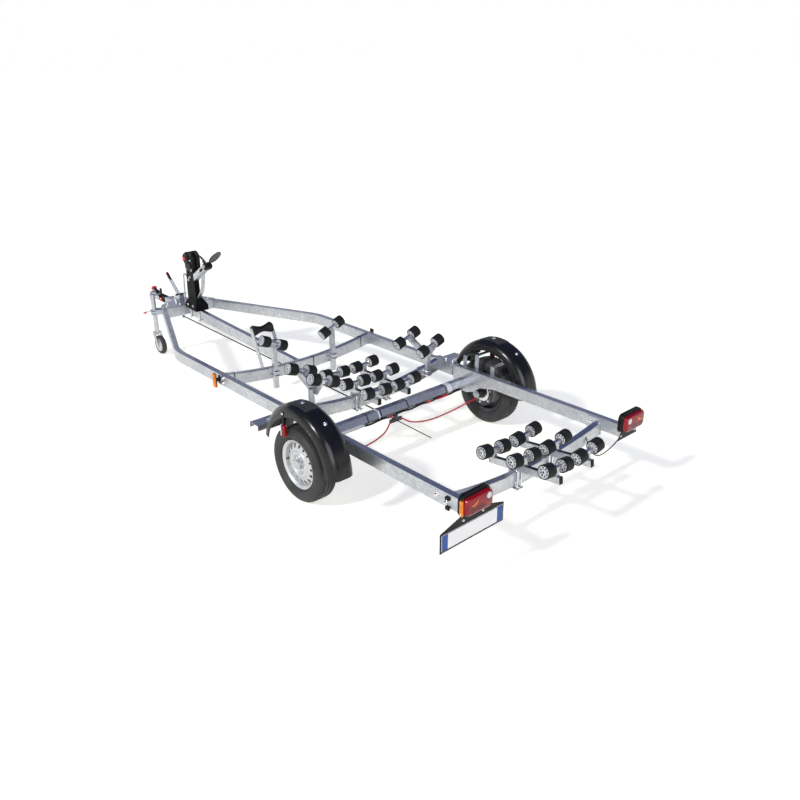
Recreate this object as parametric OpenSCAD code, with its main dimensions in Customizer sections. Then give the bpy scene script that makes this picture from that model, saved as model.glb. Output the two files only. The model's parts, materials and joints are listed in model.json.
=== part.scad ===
// Single-axle braked boat trailer with roller cradles, winch post and jockey wheel.
// X points forward to the coupling, Y to the left, Z up from the ground.

/* [Frame] */
// Width over the outer faces of the two side rails
frame_w = 1610; // [1560:5:1660]
// Width of a side rail and of the cross-members
rail_w = 50; // [46:1:56]
// Height of a side rail and of the cross-members
rail_h = 100; // [94:1:106]
// Wall of the frame tubes
rail_wall = 4; // [3:0.5:6]
// Height of the rails' top above the ground
rail_top = 500; // [490:1:512]
// Distance from the wheel axis back to the rails' rear ends
rear_len = 1425; // [1380:5:1480]
// Distance of the rear cross-member's middle ahead of the rails' rear ends
rear_inset = 200; // [180:5:220]
// Distance from the wheel axis forward to the point where the rails turn inward
bend_x = 2170; // [2100:5:2250]
// Angle by which the rails turn inward
bend_angle = 22; // [20:0.5:23]
// Radius of the rails' bend along their centre line
bend_r = 500; // [400:10:600]
// Distance from the wheel axis forward to the rear face of the front beam
beam_x = 3380; // [3340:5:3420]
// Length of each rail past the front beam's rear face
rail_nose = 170; // [150:5:200]
// Width of the drawbar
bar_w = 46; // [40:1:60]
// Drop of the drawbar's rear end below the rails' top
bar_drop = 100; // [80:1:110]

/* [Wheels] */
// Gap between a rail's outer face and its tyre
wheel_gap = 72; // [66:1:84]
// Outer radius of a tyre
tyre_r = 281; // [275:1:290]
// Width of a tyre
tyre_w = 174; // [165:1:180]
// Number of vent slots in a rim
vent_count = 16; // [10:1:18]
// Outer radius of the mudguards
guard_r = 415; // [405:1:430]
// Width of a mudguard
guard_w = 205; // [195:1:215]
// Distance across the flats of the axle tube
axle_af = 90; // [80:1:94]
// Distance of the axle tube ahead of the wheel axis
axle_lead = 130; // [110:1:150]

/* [Rollers] */
// Radius of a hull roller
roller_r = 47.5; // [44:0.5:50]
// Width of a hull roller
roller_w = 78; // [70:1:84]
// Distance between the middles of the two rollers of a pair
pair_gap = 176; // [166:1:184]
// Spokes of a roller's hub
spoke_count = 8; // [5:1:9]
// Length of the keel roller
keel_len = 200; // [180:1:220]
// Distance from the wheel axis forward to the keel roller
keel_x = 1990; // [1900:5:2080]
// Height of the keel roller's axle
keel_z = 560; // [545:1:580]

/* [Coupling and winch] */
// Distance from the wheel axis forward to the coupling ball
ball_x = 4230; // [4200:5:4260]
// Height of the coupling ball's centre
ball_z = 420; // [410:1:430]
// Diameter of the coupling ball's seat
ball_d = 50.5; // [50.2:0.1:51]
// Distance from the wheel axis forward to the middle of the winch post
post_x = 3225; // [3190:5:3240]
// Height of the winch housing's top
winch_top = 1095; // [1070:1:1110]
// Distance from the wheel axis forward to the jockey tube
jockey_x = 3540; // [3520:2:3560]
// Radius of the jockey wheel
jockey_r = 100; // [90:1:105]

/* [Lamps] */
// Width of a tail lamp
lamp_w = 240; // [220:2:260]
// Height of a tail lamp
lamp_h = 140; // [120:2:150]
// Length of the number plate
plate_w = 520; // [500:5:540]
// Height of the number plate
plate_h = 110; // [100:1:120]

/* [Hidden] */
$fn = 64;
steel = "#c3cbd3";
dark_steel = "#8c949c";
black = "#222226";
rubber = "#2b2b2d";
red = "#c8202a";
running_gap = 0.05;
corner_steps = 3;
rail_r = 7;
seam = 0.01;
rail_y = frame_w / 2 - rail_w / 2;
nose_plate_t = 8;
rail_out = frame_w / 2;
rail_in = rail_out - rail_w;
rail_bottom = rail_top - rail_h;
wheel_y = rail_out + wheel_gap + tyre_w / 2;
wheel_z = tyre_r;

// Outer face of a rail ahead of its bend, as Y at a given X
function nose_out(x) = rail_out - (x - bend_x) * tan(bend_angle);
// Inner face of a rail ahead of its bend, as Y at a given X
function nose_in(x) = nose_out(x) - rail_w / cos(bend_angle);

// Cross-members, as columns: x of the middle, drop of the top below the rails in the middle and at the ends
front_arch = [1365, 70, 0];
main_arch = [425, 85, 0];
rear_arch = [rear_inset - rear_len, 100, 30];
function arch_r(c) = let (rise = c[1] - c[2]) (rail_in * rail_in + rise * rise) / (2 * rise);
// Height of a cross-member's top at a given Y
function arch_top(c, y) = rail_top - c[1] + arch_r(c) - sqrt(arch_r(c) * arch_r(c) - y * y);

// Drawbar: it climbs from the front cross-member to the front beam
bar_x0 = front_arch[0] + rail_w / 2;
bar_top0 = rail_top - bar_drop;
bar_slope = bar_drop / (beam_x - bar_x0);
function bar_top(x) = bar_top0 + (x - bar_x0) * bar_slope;

axle_z = rail_bottom - axle_af / 2;
axle_half = rail_out - 5;
arm_t = 34;
arm_rib = 4;
hub_boss_r = 38;
stub_r = 20;
rim_flange = 181;
rim_seat = 166;
rim_half = 62;
bead_half = 48;
drum_r = 112;
drum_in = 80;
backplate_gap = 6;
backplate_t = 6;
hub_cap = 70;

guard_x = -45;
guard_z = 325;
guard_t = 5;
guard_depth = 78;
guard_shoulder = 45;
guard_from = 15;
guard_to = 179;
guard_in = wheel_y - guard_w / 2 + 4;
guard_out = guard_in + guard_w;

// Roller groups, as columns: name, x, y, z of the middle axle, tilt across, tilt along, x offsets
roller_groups = [
  ["front", front_arch[0] - rail_w / 2 - 20, 311, 665, 23, 0, [0]],
  ["side", main_arch[0] + 16, rail_in - 206, 694, 19.5, 0, [143, -143]],
  ["mid", main_arch[0] - 3, 154, 532, 4, 0, [258, 0, -258]],
  ["rear", rear_arch[0] - 65, 163, 524, 6, 6.6, [253, 0, -253]]
];
// One row a pair of rollers, as columns: node name, group, side, x offset
pairs = [for (g = roller_groups) for (s = [1, -1]) for (i = [0:len(g[6]) - 1])
  [str(g[0], "_rollers_", s > 0 ? "left" : "right", len(g[6]) > 1 ? str("_", i + 1) : ""), g, s, g[6][i]]];
pair_shaft_r = 9;
shaft_inset = 2;
bush_r = 15;
bush_len = pair_gap - roller_w - 20;
beam_gap = 52;
beam_h = 50;
beam_w = 34;
beam_wall = 3;
beam_end = 34;
side_post = [main_arch[0] - rail_w / 2 - 15, rail_in - 150, 30, 40];
side_post_top = 620;
side_plate_t = 12;

jockey_stand_off = 80;
jockey_y = nose_out(jockey_x) + jockey_stand_off;
jockey_tube_r = 24;
jockey_top = rail_top + 120;
clamp_z = rail_top - 75;
clamp_h = 50;
clamp_r = 36;
jockey_trail = 50;
jockey_w = 54;
fork_t = 6;
fork_gap = 6;
swivel_len = 26;
fork_top = 2 * jockey_r + swivel_len + 8;
crown_r = 26;
swivel_r = 10;
jockey_axle_r = 8;
fork_half = jockey_w / 2 + fork_gap + fork_t;

lamp_x = -rear_len;
lamp_z = rail_top + 41;
lamp_depth = 41;
lens_t = 30;
holder_x = lamp_x - 13;
holder_t = 4;
holder_edge = 10;
plate_t = 3;
plate_top = lamp_z - lamp_h / 2 - 62;

rod_r = 6;
rod_x0 = beam_x + rail_w + 130;
rod_x1 = axle_lead - 10;
rod_z0 = rail_bottom - 74;
rod_z1 = axle_z - axle_af / 2 - 50;
equaliser_w = 120;
backplate_y = wheel_y - drum_in - backplate_gap - backplate_t;

housing_x0 = beam_x + rail_w;
housing_x1 = housing_x0 + 430;
shaft_z = ball_z + 18;
head_r = 48;
head_x0 = ball_x - 190;
neck_top = ball_z + 50;

nose_x = ball_x + head_r;
rear_group = roller_groups[3];
tail_x = rear_group[1] + rear_group[6][2] * cos(rear_group[5]) - roller_r
  - pair_gap / 2 * sin(rear_group[4]) * sin(rear_group[5]);
mid_x = (nose_x + tail_x) / 2;

// Points of an arc about c, from angle a0 to a1
function arc(c, r, a0, a1, steps) =
  [for (i = [0:steps]) c + r * [cos(a0 + (a1 - a0) * i / steps), sin(a0 + (a1 - a0) * i / steps)]];
// Outline of a rounded rectangle about the origin
function rounded_rect(w, h, r) = concat(
  arc([w / 2 - r, h / 2 - r], r, 0, 90, corner_steps),
  arc([r - w / 2, h / 2 - r], r, 90, 180, corner_steps),
  arc([r - w / 2, r - h / 2], r, 180, 270, corner_steps),
  arc([w / 2 - r, r - h / 2], r, 270, 360, corner_steps));
// Point on a smooth curve through the points p, at u from 0 to len(p) - 1
function clamp_i(p, i) = p[max(0, min(len(p) - 1, i))];
function spline(p, u) =
  let (i = min(floor(u), len(p) - 2), t = u - i,
       a = clamp_i(p, i - 1), b = clamp_i(p, i), c = clamp_i(p, i + 1), d = clamp_i(p, i + 2))
  0.5 * (2 * b + (c - a) * t + (2 * a - 5 * b + 4 * c - d) * t * t + (3 * b - a - 3 * c + d) * t * t * t);
function unit(v) = v / norm(v);

module along_x(length) {
  rotate([90, 0, 90])
    linear_extrude(length)
      children();
}

module along_y(length) {
  rotate([90, 0, 0])
    linear_extrude(length, center = true)
      children();
}

module tube_section(w, h, wall, r) {
  difference() {
    polygon(rounded_rect(w, h, r));
    polygon(rounded_rect(w - 2 * wall, h - 2 * wall, max(1, r - wall)));
  }
}

// Copies its children on the left and mirrored on the right
module both_sides() {
  children();
  mirror([0, 1, 0])
    children();
}

// A round cable of radius r swept along a smooth curve through the points p
module cable(p, r, steps, sides = 8) {
  count = (len(p) - 1) * steps;
  rings = [for (k = [0:count])
    let (u = k / steps, c = spline(p, u),
         t = unit(spline(p, min(u + 0.02, len(p) - 1)) - spline(p, max(u - 0.02, 0))),
         e1 = unit(cross(t, abs(t[2]) < 0.9 ? [0, 0, 1] : [1, 0, 0])), e2 = cross(t, e1))
    for (j = [0:sides - 1]) c + r * (cos(360 * j / sides) * e1 + sin(360 * j / sides) * e2)];
  walls = [for (k = [0:count - 1]) for (j = [0:sides - 1])
    let (n = (j + 1) % sides)
    [k * sides + j, k * sides + n, (k + 1) * sides + n, (k + 1) * sides + j]];
  first = [[for (j = [sides - 1:-1:0]) j]];
  last = [[for (j = [0:sides - 1]) count * sides + j]];
  polyhedron(rings, concat(walls, first, last));
}

// The path of the left rail with a given section: its pieces meet with a hair of overlap
module rail_run(w, h, r, over) {
  t = bend_r * tan(bend_angle / 2);
  nose_len = (beam_x + rail_nose - bend_x) / cos(bend_angle) - t;
  zc = rail_top - rail_h / 2;
  mid_bend_x = bend_x - rail_w / 2 * tan(bend_angle / 2);
  translate([-rear_len - over, rail_y, zc])
    along_x(rear_len + over + mid_bend_x - t + seam)
      polygon(rounded_rect(w, h, r));
  translate([mid_bend_x - t, rail_y - bend_r, zc])
    rotate([0, 0, 90 - bend_angle])
      rotate_extrude(angle = bend_angle)
        translate([bend_r, 0])
          polygon(rounded_rect(w, h, r));
  translate([mid_bend_x, rail_y, zc])
    rotate([0, 0, -bend_angle])
      translate([t - seam, 0, 0])
        along_x(nose_len + over + seam)
          polygon(rounded_rect(w, h, r));
}

module side_rail() {
  color(steel)
    difference() {
      rail_run(rail_w, rail_h, rail_r, 0);
      rail_run(rail_w - 2 * rail_wall, rail_h - 2 * rail_wall, rail_r - rail_wall + 0.5, 1);
    }
}

module side_rail_left() {
  side_rail();
}

module side_rail_right() {
  mirror([0, 1, 0])
    side_rail();
}

module drawbar() {
  color(steel)
    difference() {
      along_y(bar_w)
        polygon([[bar_x0, bar_top0], [beam_x, rail_top], [beam_x, rail_bottom],
          [bar_x0, bar_top0 - rail_h]]);
      along_y(bar_w - 2 * rail_wall)
        polygon([[bar_x0 - 1, bar_top0 - rail_wall], [beam_x + 1, rail_top - rail_wall],
          [beam_x + 1, rail_bottom + rail_wall], [bar_x0 - 1, bar_top0 - rail_h + rail_wall]]);
    }
}

// Beam between the rails' noses, with the plate on them that carries the overrun housing
module front_beam() {
  x1 = beam_x + rail_w;
  plate_x0 = beam_x + 12;
  plate_x1 = beam_x + rail_nose - 10;
  plate_x2 = plate_x1 + 90;
  color(steel) {
    translate([0, 0, rail_top])
      linear_extrude(nose_plate_t)
        polygon([[plate_x0, -nose_out(plate_x0) + 12], [plate_x1, -nose_out(plate_x1) + 12], [plate_x2, -80],
          [plate_x2, 80], [plate_x1, nose_out(plate_x1) - 12], [plate_x0, nose_out(plate_x0) - 12]]);
    difference() {
      translate([0, 0, rail_bottom])
        linear_extrude(rail_h)
          polygon([[beam_x, -nose_in(beam_x)], [x1, -nose_in(x1)], [x1, nose_in(x1)],
            [beam_x, nose_in(beam_x)]]);
      translate([beam_x + rail_wall, -rail_out, rail_bottom + rail_wall])
        cube([rail_w - 2 * rail_wall, frame_w, rail_h - 2 * rail_wall]);
    }
  }
}

module arch(c) {
  r = arch_r(c);
  half_angle = asin(rail_in / r) + 1;
  color(steel)
    intersection() {
      translate([c[0], 0, rail_top - c[1] + r])
        rotate([0, 90, 0])
          rotate([0, 0, -half_angle])
            rotate_extrude(angle = 2 * half_angle, $fn = 720)
              translate([r + rail_h / 2, 0])
                tube_section(rail_h, rail_w, rail_wall, rail_r);
      translate([c[0] - rail_w, -rail_in, 0])
        cube([2 * rail_w, 2 * rail_in, 2 * rail_top]);
    }
}

end_plate_t = 8;
end_plate_drop = 12;
hook_lip = 40;

// Plates on the rails' inner faces at a cross-member's ends, from x0 to x1
module end_plates(c, x0, x1) {
  color(steel)
    both_sides()
      translate([x0, rail_in - end_plate_t, rail_bottom - c[2]])
        cube([x1 - x0, end_plate_t, rail_h + c[2] - end_plate_drop]);
}

// Plates that hook over the rails, from x0 to x1
module rail_hooks(x0, x1) {
  color(steel)
    both_sides()
      translate([x0, 0, rail_top])
        along_x(x1 - x0)
          polygon([[rail_in - end_plate_t, -rail_h], [rail_in, -rail_h], [rail_in, 0], [rail_out, 0],
            [rail_out, -hook_lip], [rail_out + end_plate_t, -hook_lip], [rail_out + end_plate_t, end_plate_t],
            [rail_in - end_plate_t, end_plate_t]]);
}

module cross_front() {
  arch(front_arch);
  end_plates(front_arch, front_arch[0] - rail_w, front_arch[0] + rail_w);
}

module cross_main() {
  arch(main_arch);
  rail_hooks(main_arch[0] - 190, main_arch[0] + 30);
}

module cross_rear() {
  arch(rear_arch);
  end_plates(rear_arch, rear_arch[0] - 30, rear_arch[0] + 90);
}

// Hanger plate of the axle, as X from the axle and drop below the rail
hanger_t = 8;
hanger = [[-350, 0], [-200, -30], [-140, -80], [-60, -108], [64, -108], [110, 0]];

// Hexagonal tube in the plates that hang it under the rails
module axle_tube() {
  hex_r = axle_af / 2 / cos(30);
  color(steel) {
    translate([axle_lead, 0, axle_z])
      rotate([90, 0, 0])
        difference() {
          cylinder(r = hex_r, h = 2 * axle_half, center = true, $fn = 6);
          cylinder(r = hex_r - 7, h = 2 * axle_half + 2, center = true, $fn = 6);
        }
    both_sides()
      translate([axle_lead, rail_in + hanger_t, rail_bottom])
        difference() {
          along_y(hanger_t)
            polygon(hanger);
          translate([0, 0, axle_z - rail_bottom])
            rotate([90, 0, 0])
              cylinder(r = hex_r + running_gap, h = 2 * hanger_t, center = true, $fn = 6);
        }
  }
}

// Cylinder along +Y from a point on the wheel side
module lateral_cylinder(p, r, h) {
  translate(p)
    rotate([-90, 0, 0])
      cylinder(r = r, h = h);
}

// Trailing arms with their stub axles and brake backplates
module swing_arms() {
  lead = [-axle_lead, wheel_z - axle_z];
  color(dark_steel)
    both_sides() {
      lateral_cylinder([axle_lead, axle_half, axle_z], axle_af / 2, arm_t);
      lateral_cylinder([0, axle_half, wheel_z], hub_boss_r, arm_t);
      translate([axle_lead, axle_half + arm_rib, axle_z])
        rotate([0, -atan2(lead[1], lead[0]), 0])
          translate([0, 0, -28])
            cube([norm(lead), arm_t - 2 * arm_rib, 56]);
      lateral_cylinder([0, axle_half + arm_t / 2, wheel_z], stub_r,
        wheel_y + hub_cap - 15 - axle_half - arm_t / 2);
      lateral_cylinder([0, backplate_y, wheel_z], drum_r + 6, backplate_t);
    }
}

// Section of a mudguard, as radius and Y
function guard_section() =
  let (c1 = [guard_r - guard_shoulder, guard_in + guard_shoulder],
       c2 = [guard_r - guard_shoulder, guard_out - guard_shoulder], edge = guard_r - guard_depth)
  concat([[edge, guard_in]], arc(c1, guard_shoulder, 270, 360, 6), arc(c2, guard_shoulder, 0, 90, 6),
    [[edge, guard_out], [edge, guard_out - guard_t]], arc(c2, guard_shoulder - guard_t, 90, 0, 6),
    arc(c1, guard_shoulder - guard_t, 360, 270, 6), [[edge, guard_in + guard_t]]);

module mudguards() {
  color(black)
    both_sides()
      translate([guard_x, 0, guard_z])
        rotate([-90, 0, 0])
          rotate([0, 0, -guard_to])
            rotate_extrude(angle = guard_to - guard_from, $fn = 96)
              polygon(guard_section());
}

// Channel step that reaches out from a rail ahead of the mudguard
step_x = 408;
step_w = 110;
step_t = 4;
step_h = 40;
step_top = rail_top - 50;

module side_step() {
  translate([step_x, rail_out, step_top - step_h])
    difference() {
      cube([step_w, guard_out - rail_out, step_h]);
      translate([step_t, -1, -1])
        cube([step_w - 2 * step_t, guard_out - rail_out + 2, step_h - step_t + 1]);
    }
}

// Straps that carry the mudguards, as columns: x, rise above the rails' top
stays = [[140, 82], [8, 122], [-162, 66]];
stay_w = 40;
stay_t = 5;
stay_foot = 80;

// Each strap climbs the rail, passes under the guard's lip and stands up to its crown
module mudguard_stays() {
  reach = (guard_in + guard_out) / 2 - rail_out;
  under_r = guard_r - guard_t;
  color(steel)
    both_sides() {
      side_step();
      for (q = stays) {
        shelf = rail_top + q[1];
        crown = guard_z + sqrt(under_r * under_r - pow(abs(q[0] - guard_x) + stay_w / 2, 2));
        translate([q[0] - stay_w / 2, rail_out, rail_top - stay_foot])
          cube([stay_w, stay_t, stay_foot + q[1] + stay_t]);
        translate([q[0] - stay_w / 2, rail_out, shelf])
          cube([stay_w, reach + stay_t, stay_t]);
        translate([q[0] - stay_w / 2, rail_out + reach, shelf])
          cube([stay_w, stay_t, crown - shelf]);
      }
    }
}

lamp_y = rail_out - 8;

module lamp_housings() {
  color(black)
    both_sides()
      translate([lamp_x - lamp_depth, lamp_y, lamp_z])
        along_x(lamp_depth)
          polygon(rounded_rect(lamp_w, lamp_h, 18));
}

module lamp_lenses() {
  color(red)
    both_sides()
      translate([lamp_x - lamp_depth - lens_t, lamp_y, lamp_z])
        along_x(lens_t)
          polygon(rounded_rect(lamp_w - 14, lamp_h - 24, 14));
}

// Trapezoid boards under the lamps: the left one carries the number plate
module plate_holder() {
  top = lamp_z - lamp_h / 2;
  half = plate_w / 2 + holder_edge;
  board_top = plate_top + holder_edge;
  board_bottom = plate_top - plate_h - holder_edge;
  color(black) {
    translate([holder_x - holder_t, lamp_y, 0])
      along_x(holder_t)
        polygon([[-lamp_w / 2 + 20, top], [lamp_w / 2 - 20, top], [half, board_top], [half, board_bottom],
          [-half, board_bottom], [-half, board_top]]);
    translate([holder_x - holder_t, -lamp_y, 0])
      along_x(holder_t)
        polygon([[-lamp_w / 2 + 40, top], [lamp_w / 2 - 40, top], [lamp_w / 2, plate_top],
          [-lamp_w / 2, plate_top]]);
  }
}

module number_plate() {
  color("white")
    translate([holder_x - holder_t - plate_t, lamp_y, plate_top - plate_h / 2])
      along_x(plate_t)
        polygon(rounded_rect(plate_w, plate_h, 8));
}

marker_x = 1400;
guard_marker_x = 72;

module marker_lamps() {
  edge_z = guard_z + sqrt(pow(guard_r - guard_depth, 2) - pow(guard_marker_x - guard_x, 2));
  color("orange")
    both_sides() {
      translate([marker_x - 12, rail_out, rail_top - 60])
        cube([24, 34, 24]);
      translate([marker_x - 20, rail_out + 34, rail_top - 111])
        cube([40, 24, 124]);
      translate([guard_marker_x - 10, guard_out, edge_z - 60])
        cube([20, 4, 95]);
      translate([guard_marker_x - 24, guard_out - 14, edge_z - 150])
        cube([48, 30, 92]);
    }
}

// Side view of the winch post, as X from its middle and height
post_top = winch_top - 205;
post_half = 50;
post_y = 28;
foot_half = 110;
foot_y = 72;
foot_h = 60;
neck_z = rail_top + 130;
function post_side(d) = [
  [post_x - foot_half + d, bar_top(post_x - foot_half)], [post_x + foot_half - d, bar_top(post_x + foot_half)],
  [post_x + foot_half - d, rail_top + foot_h], [post_x + post_half + 12 - d, neck_z - 20],
  [post_x + post_half - d, neck_z + 60], [post_x + post_half - d, post_top],
  [post_x - post_half + d, post_top], [post_x - post_half + d, neck_z + 60],
  [post_x - post_half - 14 + d, neck_z - 20], [post_x - foot_half + d, rail_top + foot_h - 14]];
function post_back(d) = [
  [-foot_y + d, 0], [foot_y - d, 0], [foot_y - d, rail_top + foot_h - 20], [post_y + 8 - d, neck_z - 20],
  [post_y - d, neck_z + 40], [post_y - d, post_top], [-post_y + d, post_top], [-post_y + d, neck_z + 40],
  [-post_y - 8 + d, neck_z - 20], [-foot_y + d, rail_top + foot_h - 20]];

module post_form(d) {
  intersection() {
    along_y(2 * foot_y + 2)
      polygon(post_side(d));
    translate([post_x - 2 * foot_half, 0, 0])
      along_x(4 * foot_half)
        polygon(post_back(d));
  }
}

module winch_post() {
  color(black)
    difference() {
      post_form(0);
      translate([0, 0, -4])
        post_form(4);
    }
}

// Winch with a rounded cover, a brake drum on its left and a knob
module winch_housing() {
  h = winch_top - post_top;
  color(black) {
    translate([post_x, 0, post_top])
      along_y(100)
        polygon(concat([[-70, 0], [62, 0], [76, 60]], arc([26, h - 60], 50, 0, 90, 5),
          arc([-20, h - 66], 66, 90, 180, 6), [[-86, 70]]));
    lateral_cylinder([post_x + 22, 50, post_top + 130], 54, 14);
    lateral_cylinder([post_x + 22, 64, post_top + 130], 20, 22);
  }
}

// Inclined tube that holds the bow stop, with the curved strut to the post's foot
arm_root = [post_x - post_half, rail_top + 330];
arm_end = [post_x - 300, rail_top + 485];
arm_half = 29;

module bow_stop_arm() {
  u = unit(arm_end - arm_root);
  n = [-u[1], u[0]];
  rise = arm_half / abs(u[0]);
  strut = [for (k = [0:12]) spline([arm_root + [-150, 80], arm_root + [-128, -40], arm_root + [-80, -140],
    arm_root + [30, -250]], k / 4)];
  color(steel)
    difference() {
      union() {
        along_y(2 * arm_half)
          polygon([[arm_root[0], arm_root[1] - rise], [arm_root[0], arm_root[1] + rise], arm_end - n * arm_half,
            arm_end + n * arm_half]);
        along_y(40)
          polygon(concat(strut, [for (k = [12:-1:0]) strut[k] - [14, 0]]));
      }
      along_y(2 * arm_half - 8)
        polygon([arm_end - n * (arm_half - 4) + u, arm_end + n * (arm_half - 4) + u,
          arm_end + n * (arm_half - 4) - u * 110, arm_end - n * (arm_half - 4) - u * 110]);
      along_y(3 * foot_y)
        polygon(post_side(0));
    }
}

// V block with two oval bow pads
pad_len = 150;
pad_w = 66;
pad_t = 12;

module bow_stop_pads() {
  u = unit(arm_end - arm_root);
  n = [-u[1], u[0]];
  color(black) {
    along_y(84)
      polygon([arm_end - n * 34, arm_end + n * 34, arm_end + n * 30 + u * 50, arm_end - n * 44 + u * 56]);
    both_sides()
      translate([arm_end[0] - 62, 66, arm_end[1] + 92])
        rotate([0, 0, -25])
          rotate([-33, 0, 0])
            rotate([0, -43, 0])
              along_y(pad_t)
                polygon([for (a = [0:15:345]) [pad_w / 2 * cos(a), pad_len / 2 * sin(a)]]);
  }
}

// Leaning bars on the drawbar with the keel roller's pin between them
keel_lean = 23;
keel_bar_w = 50;
keel_bar_t = 8;
keel_bar_len = 350;
keel_gap = 6;
keel_pin_r = 9;

module keel_bracket() {
  y0 = keel_len / 2 + keel_gap;
  seat_x = keel_x - (keel_z - bar_top(keel_x)) * tan(keel_lean);
  color(steel) {
    both_sides()
      translate([keel_x, y0, keel_z])
        rotate([0, keel_lean, 0])
          translate([-keel_bar_w / 2, 0, -keel_bar_len])
            cube([keel_bar_w, keel_bar_t, keel_bar_len + 24]);
    along_y(2 * y0 + 2)
      polygon([[seat_x - 36, bar_top(seat_x - 36)], [seat_x + 36, bar_top(seat_x + 36)],
        [seat_x + 36, bar_top(seat_x + 36) + 10], [seat_x - 36, bar_top(seat_x - 36) + 10]]);
    translate([keel_x, -y0 - 1, keel_z])
      rotate([-90, 0, 0])
        cylinder(r = keel_pin_r, h = 2 * y0 + 2);
  }
}

keel_end_r = 50;
keel_waist_r = 28;

module keel_roller() {
  h = keel_len / 2;
  bore = keel_pin_r + running_gap;
  color(rubber)
    translate([keel_x, 0, keel_z])
      rotate([90, 0, 0])
        rotate_extrude()
          polygon([[bore, -h], [keel_end_r - 6, -h], [keel_end_r, -h + 6], [keel_end_r, -h + 22],
            [keel_waist_r, -12], [keel_waist_r, 12], [keel_end_r, h - 22], [keel_end_r, h - 6],
            [keel_end_r - 6, h], [bore, h]]);
}

// Places its children in a roller group's frame
module in_group(g, s) {
  translate([g[1], s * g[2], g[3]])
    rotate([0, g[5], 0])
      children();
}

// Cylinder along a pair's tilted axle
module on_axle(g, s, r, h) {
  rotate([s * g[4], 0, 0])
    rotate([90, 0, 0])
      cylinder(r = r, h = h, center = true);
}

// Bearing bush on a web that stands on its carrier
module bush_stand(g, s, drop, web_w) {
  difference() {
    union() {
      on_axle(g, s, bush_r, bush_len);
      translate([-14, -web_w / 2, -drop])
        cube([28, web_w, drop]);
    }
    on_axle(g, s, pair_shaft_r + running_gap, 2 * pair_gap);
  }
}

front_group = roller_groups[0];
side_group = roller_groups[1];
post_tube = 40;
front_post_len = 405;

module roller_posts() {
  z0 = front_group[3] - front_post_len;
  z1 = front_group[3] - 32;
  color(steel)
    for (s = [1, -1])
      in_group(front_group, s) {
        translate([0, 0, z0 - front_group[3]])
          linear_extrude(z1 - z0)
            tube_section(post_tube, post_tube, 3, 4);
        bush_stand(front_group, s, 34, 30);
        translate([0, 0, -34])
          linear_extrude(4)
            polygon(rounded_rect(post_tube, post_tube, 4));
      }
}

// Side cradle plate, as X and height from the middle axle
side_plate = [[168, 12], [168, -26], [-20, -122], [-96, -122], [-168, -26], [-168, 12], [-118, 12],
  [-56, -64], [104, 12]];

module cradles() {
  color(steel)
    for (s = [1, -1]) {
      for (g = [roller_groups[2], roller_groups[3]])
        in_group(g, s) {
          half = g[6][0] + beam_end;
          translate([-half, 0, -beam_gap - beam_h / 2])
            along_x(2 * half)
              tube_section(beam_w, beam_h, beam_wall, 4);
          for (x = g[6])
            translate([x, 0, 0])
              bush_stand(g, s, beam_gap, 30);
        }
      in_group(side_group, s)
        difference() {
          union() {
            translate([0, s * (side_post[1] - side_post[3] / 2 - side_plate_t / 2 - side_group[2]), 0])
              along_y(side_plate_t)
                polygon(side_plate);
            for (x = side_group[6])
              translate([x, 0, 0])
                on_axle(side_group, s, bush_r, bush_len);
          }
          for (x = side_group[6])
            translate([x, 0, 0])
              on_axle(side_group, s, pair_shaft_r + running_gap, 2 * pair_gap);
        }
    }
}

saddle_t = 8;
saddle_w = 60;
saddle_h = 56;

// Saddles over the cross-members under the cradle beams, and the side cradles' uprights
module cradle_brackets() {
  color(steel)
    for (s = [1, -1]) {
      for (pick = [[roller_groups[2], main_arch], [roller_groups[3], rear_arch]]) {
        g = pick[0];
        c = pick[1];
        crown = arch_top(c, g[2] + saddle_w / 2) + 1;
        difference() {
          translate([c[0] - rail_w / 2 - saddle_t, s * g[2] - saddle_w / 2, crown - saddle_h])
            cube([rail_w + 2 * saddle_t, saddle_w, saddle_h + 60]);
          translate([c[0] - rail_w / 2, s * g[2] - saddle_w, 0])
            cube([rail_w, 2 * saddle_w, crown]);
          in_group(g, s)
            translate([-200, -100, -beam_gap - beam_h])
              cube([400, 200, 200]);
        }
      }
      translate([side_post[0], s * side_post[1], rail_bottom - 12])
        linear_extrude(side_post_top - rail_bottom + 12)
          tube_section(side_post[2], side_post[3], 3, 4);
    }
}

// Two spoked rollers on one shaft
module roller() {
  rim_t = 9;
  hub_r = 16;
  recess = 16;
  bore = pair_shaft_r + running_gap;
  difference() {
    rotate_extrude()
      polygon([[bore, -roller_w / 2], [roller_r - 5, -roller_w / 2], [roller_r, -roller_w / 2 + 5],
        [roller_r, roller_w / 2 - 5], [roller_r - 5, roller_w / 2], [bore, roller_w / 2]]);
    for (side = [1, -1])
      for (k = [0:spoke_count - 1])
        rotate([0, 0, 360 * k / spoke_count])
          translate([(roller_r - rim_t + hub_r) / 2, 0, side * roller_w / 2])
            cylinder(r = (roller_r - rim_t - hub_r) / 2 - 1, h = 2 * recess, center = true, $fn = 24);
  }
}

module roller_pair(p) {
  g = p[1];
  color(rubber)
    in_group(g, p[2])
      translate([p[3], 0, 0])
        rotate([p[2] * g[4], 0, 0])
          rotate([90, 0, 0]) {
            cylinder(r = pair_shaft_r, h = pair_gap + roller_w - 2 * shaft_inset, center = true);
            for (side = [1, -1])
              translate([0, 0, side * pair_gap / 2])
                roller();
          }
}

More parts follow.
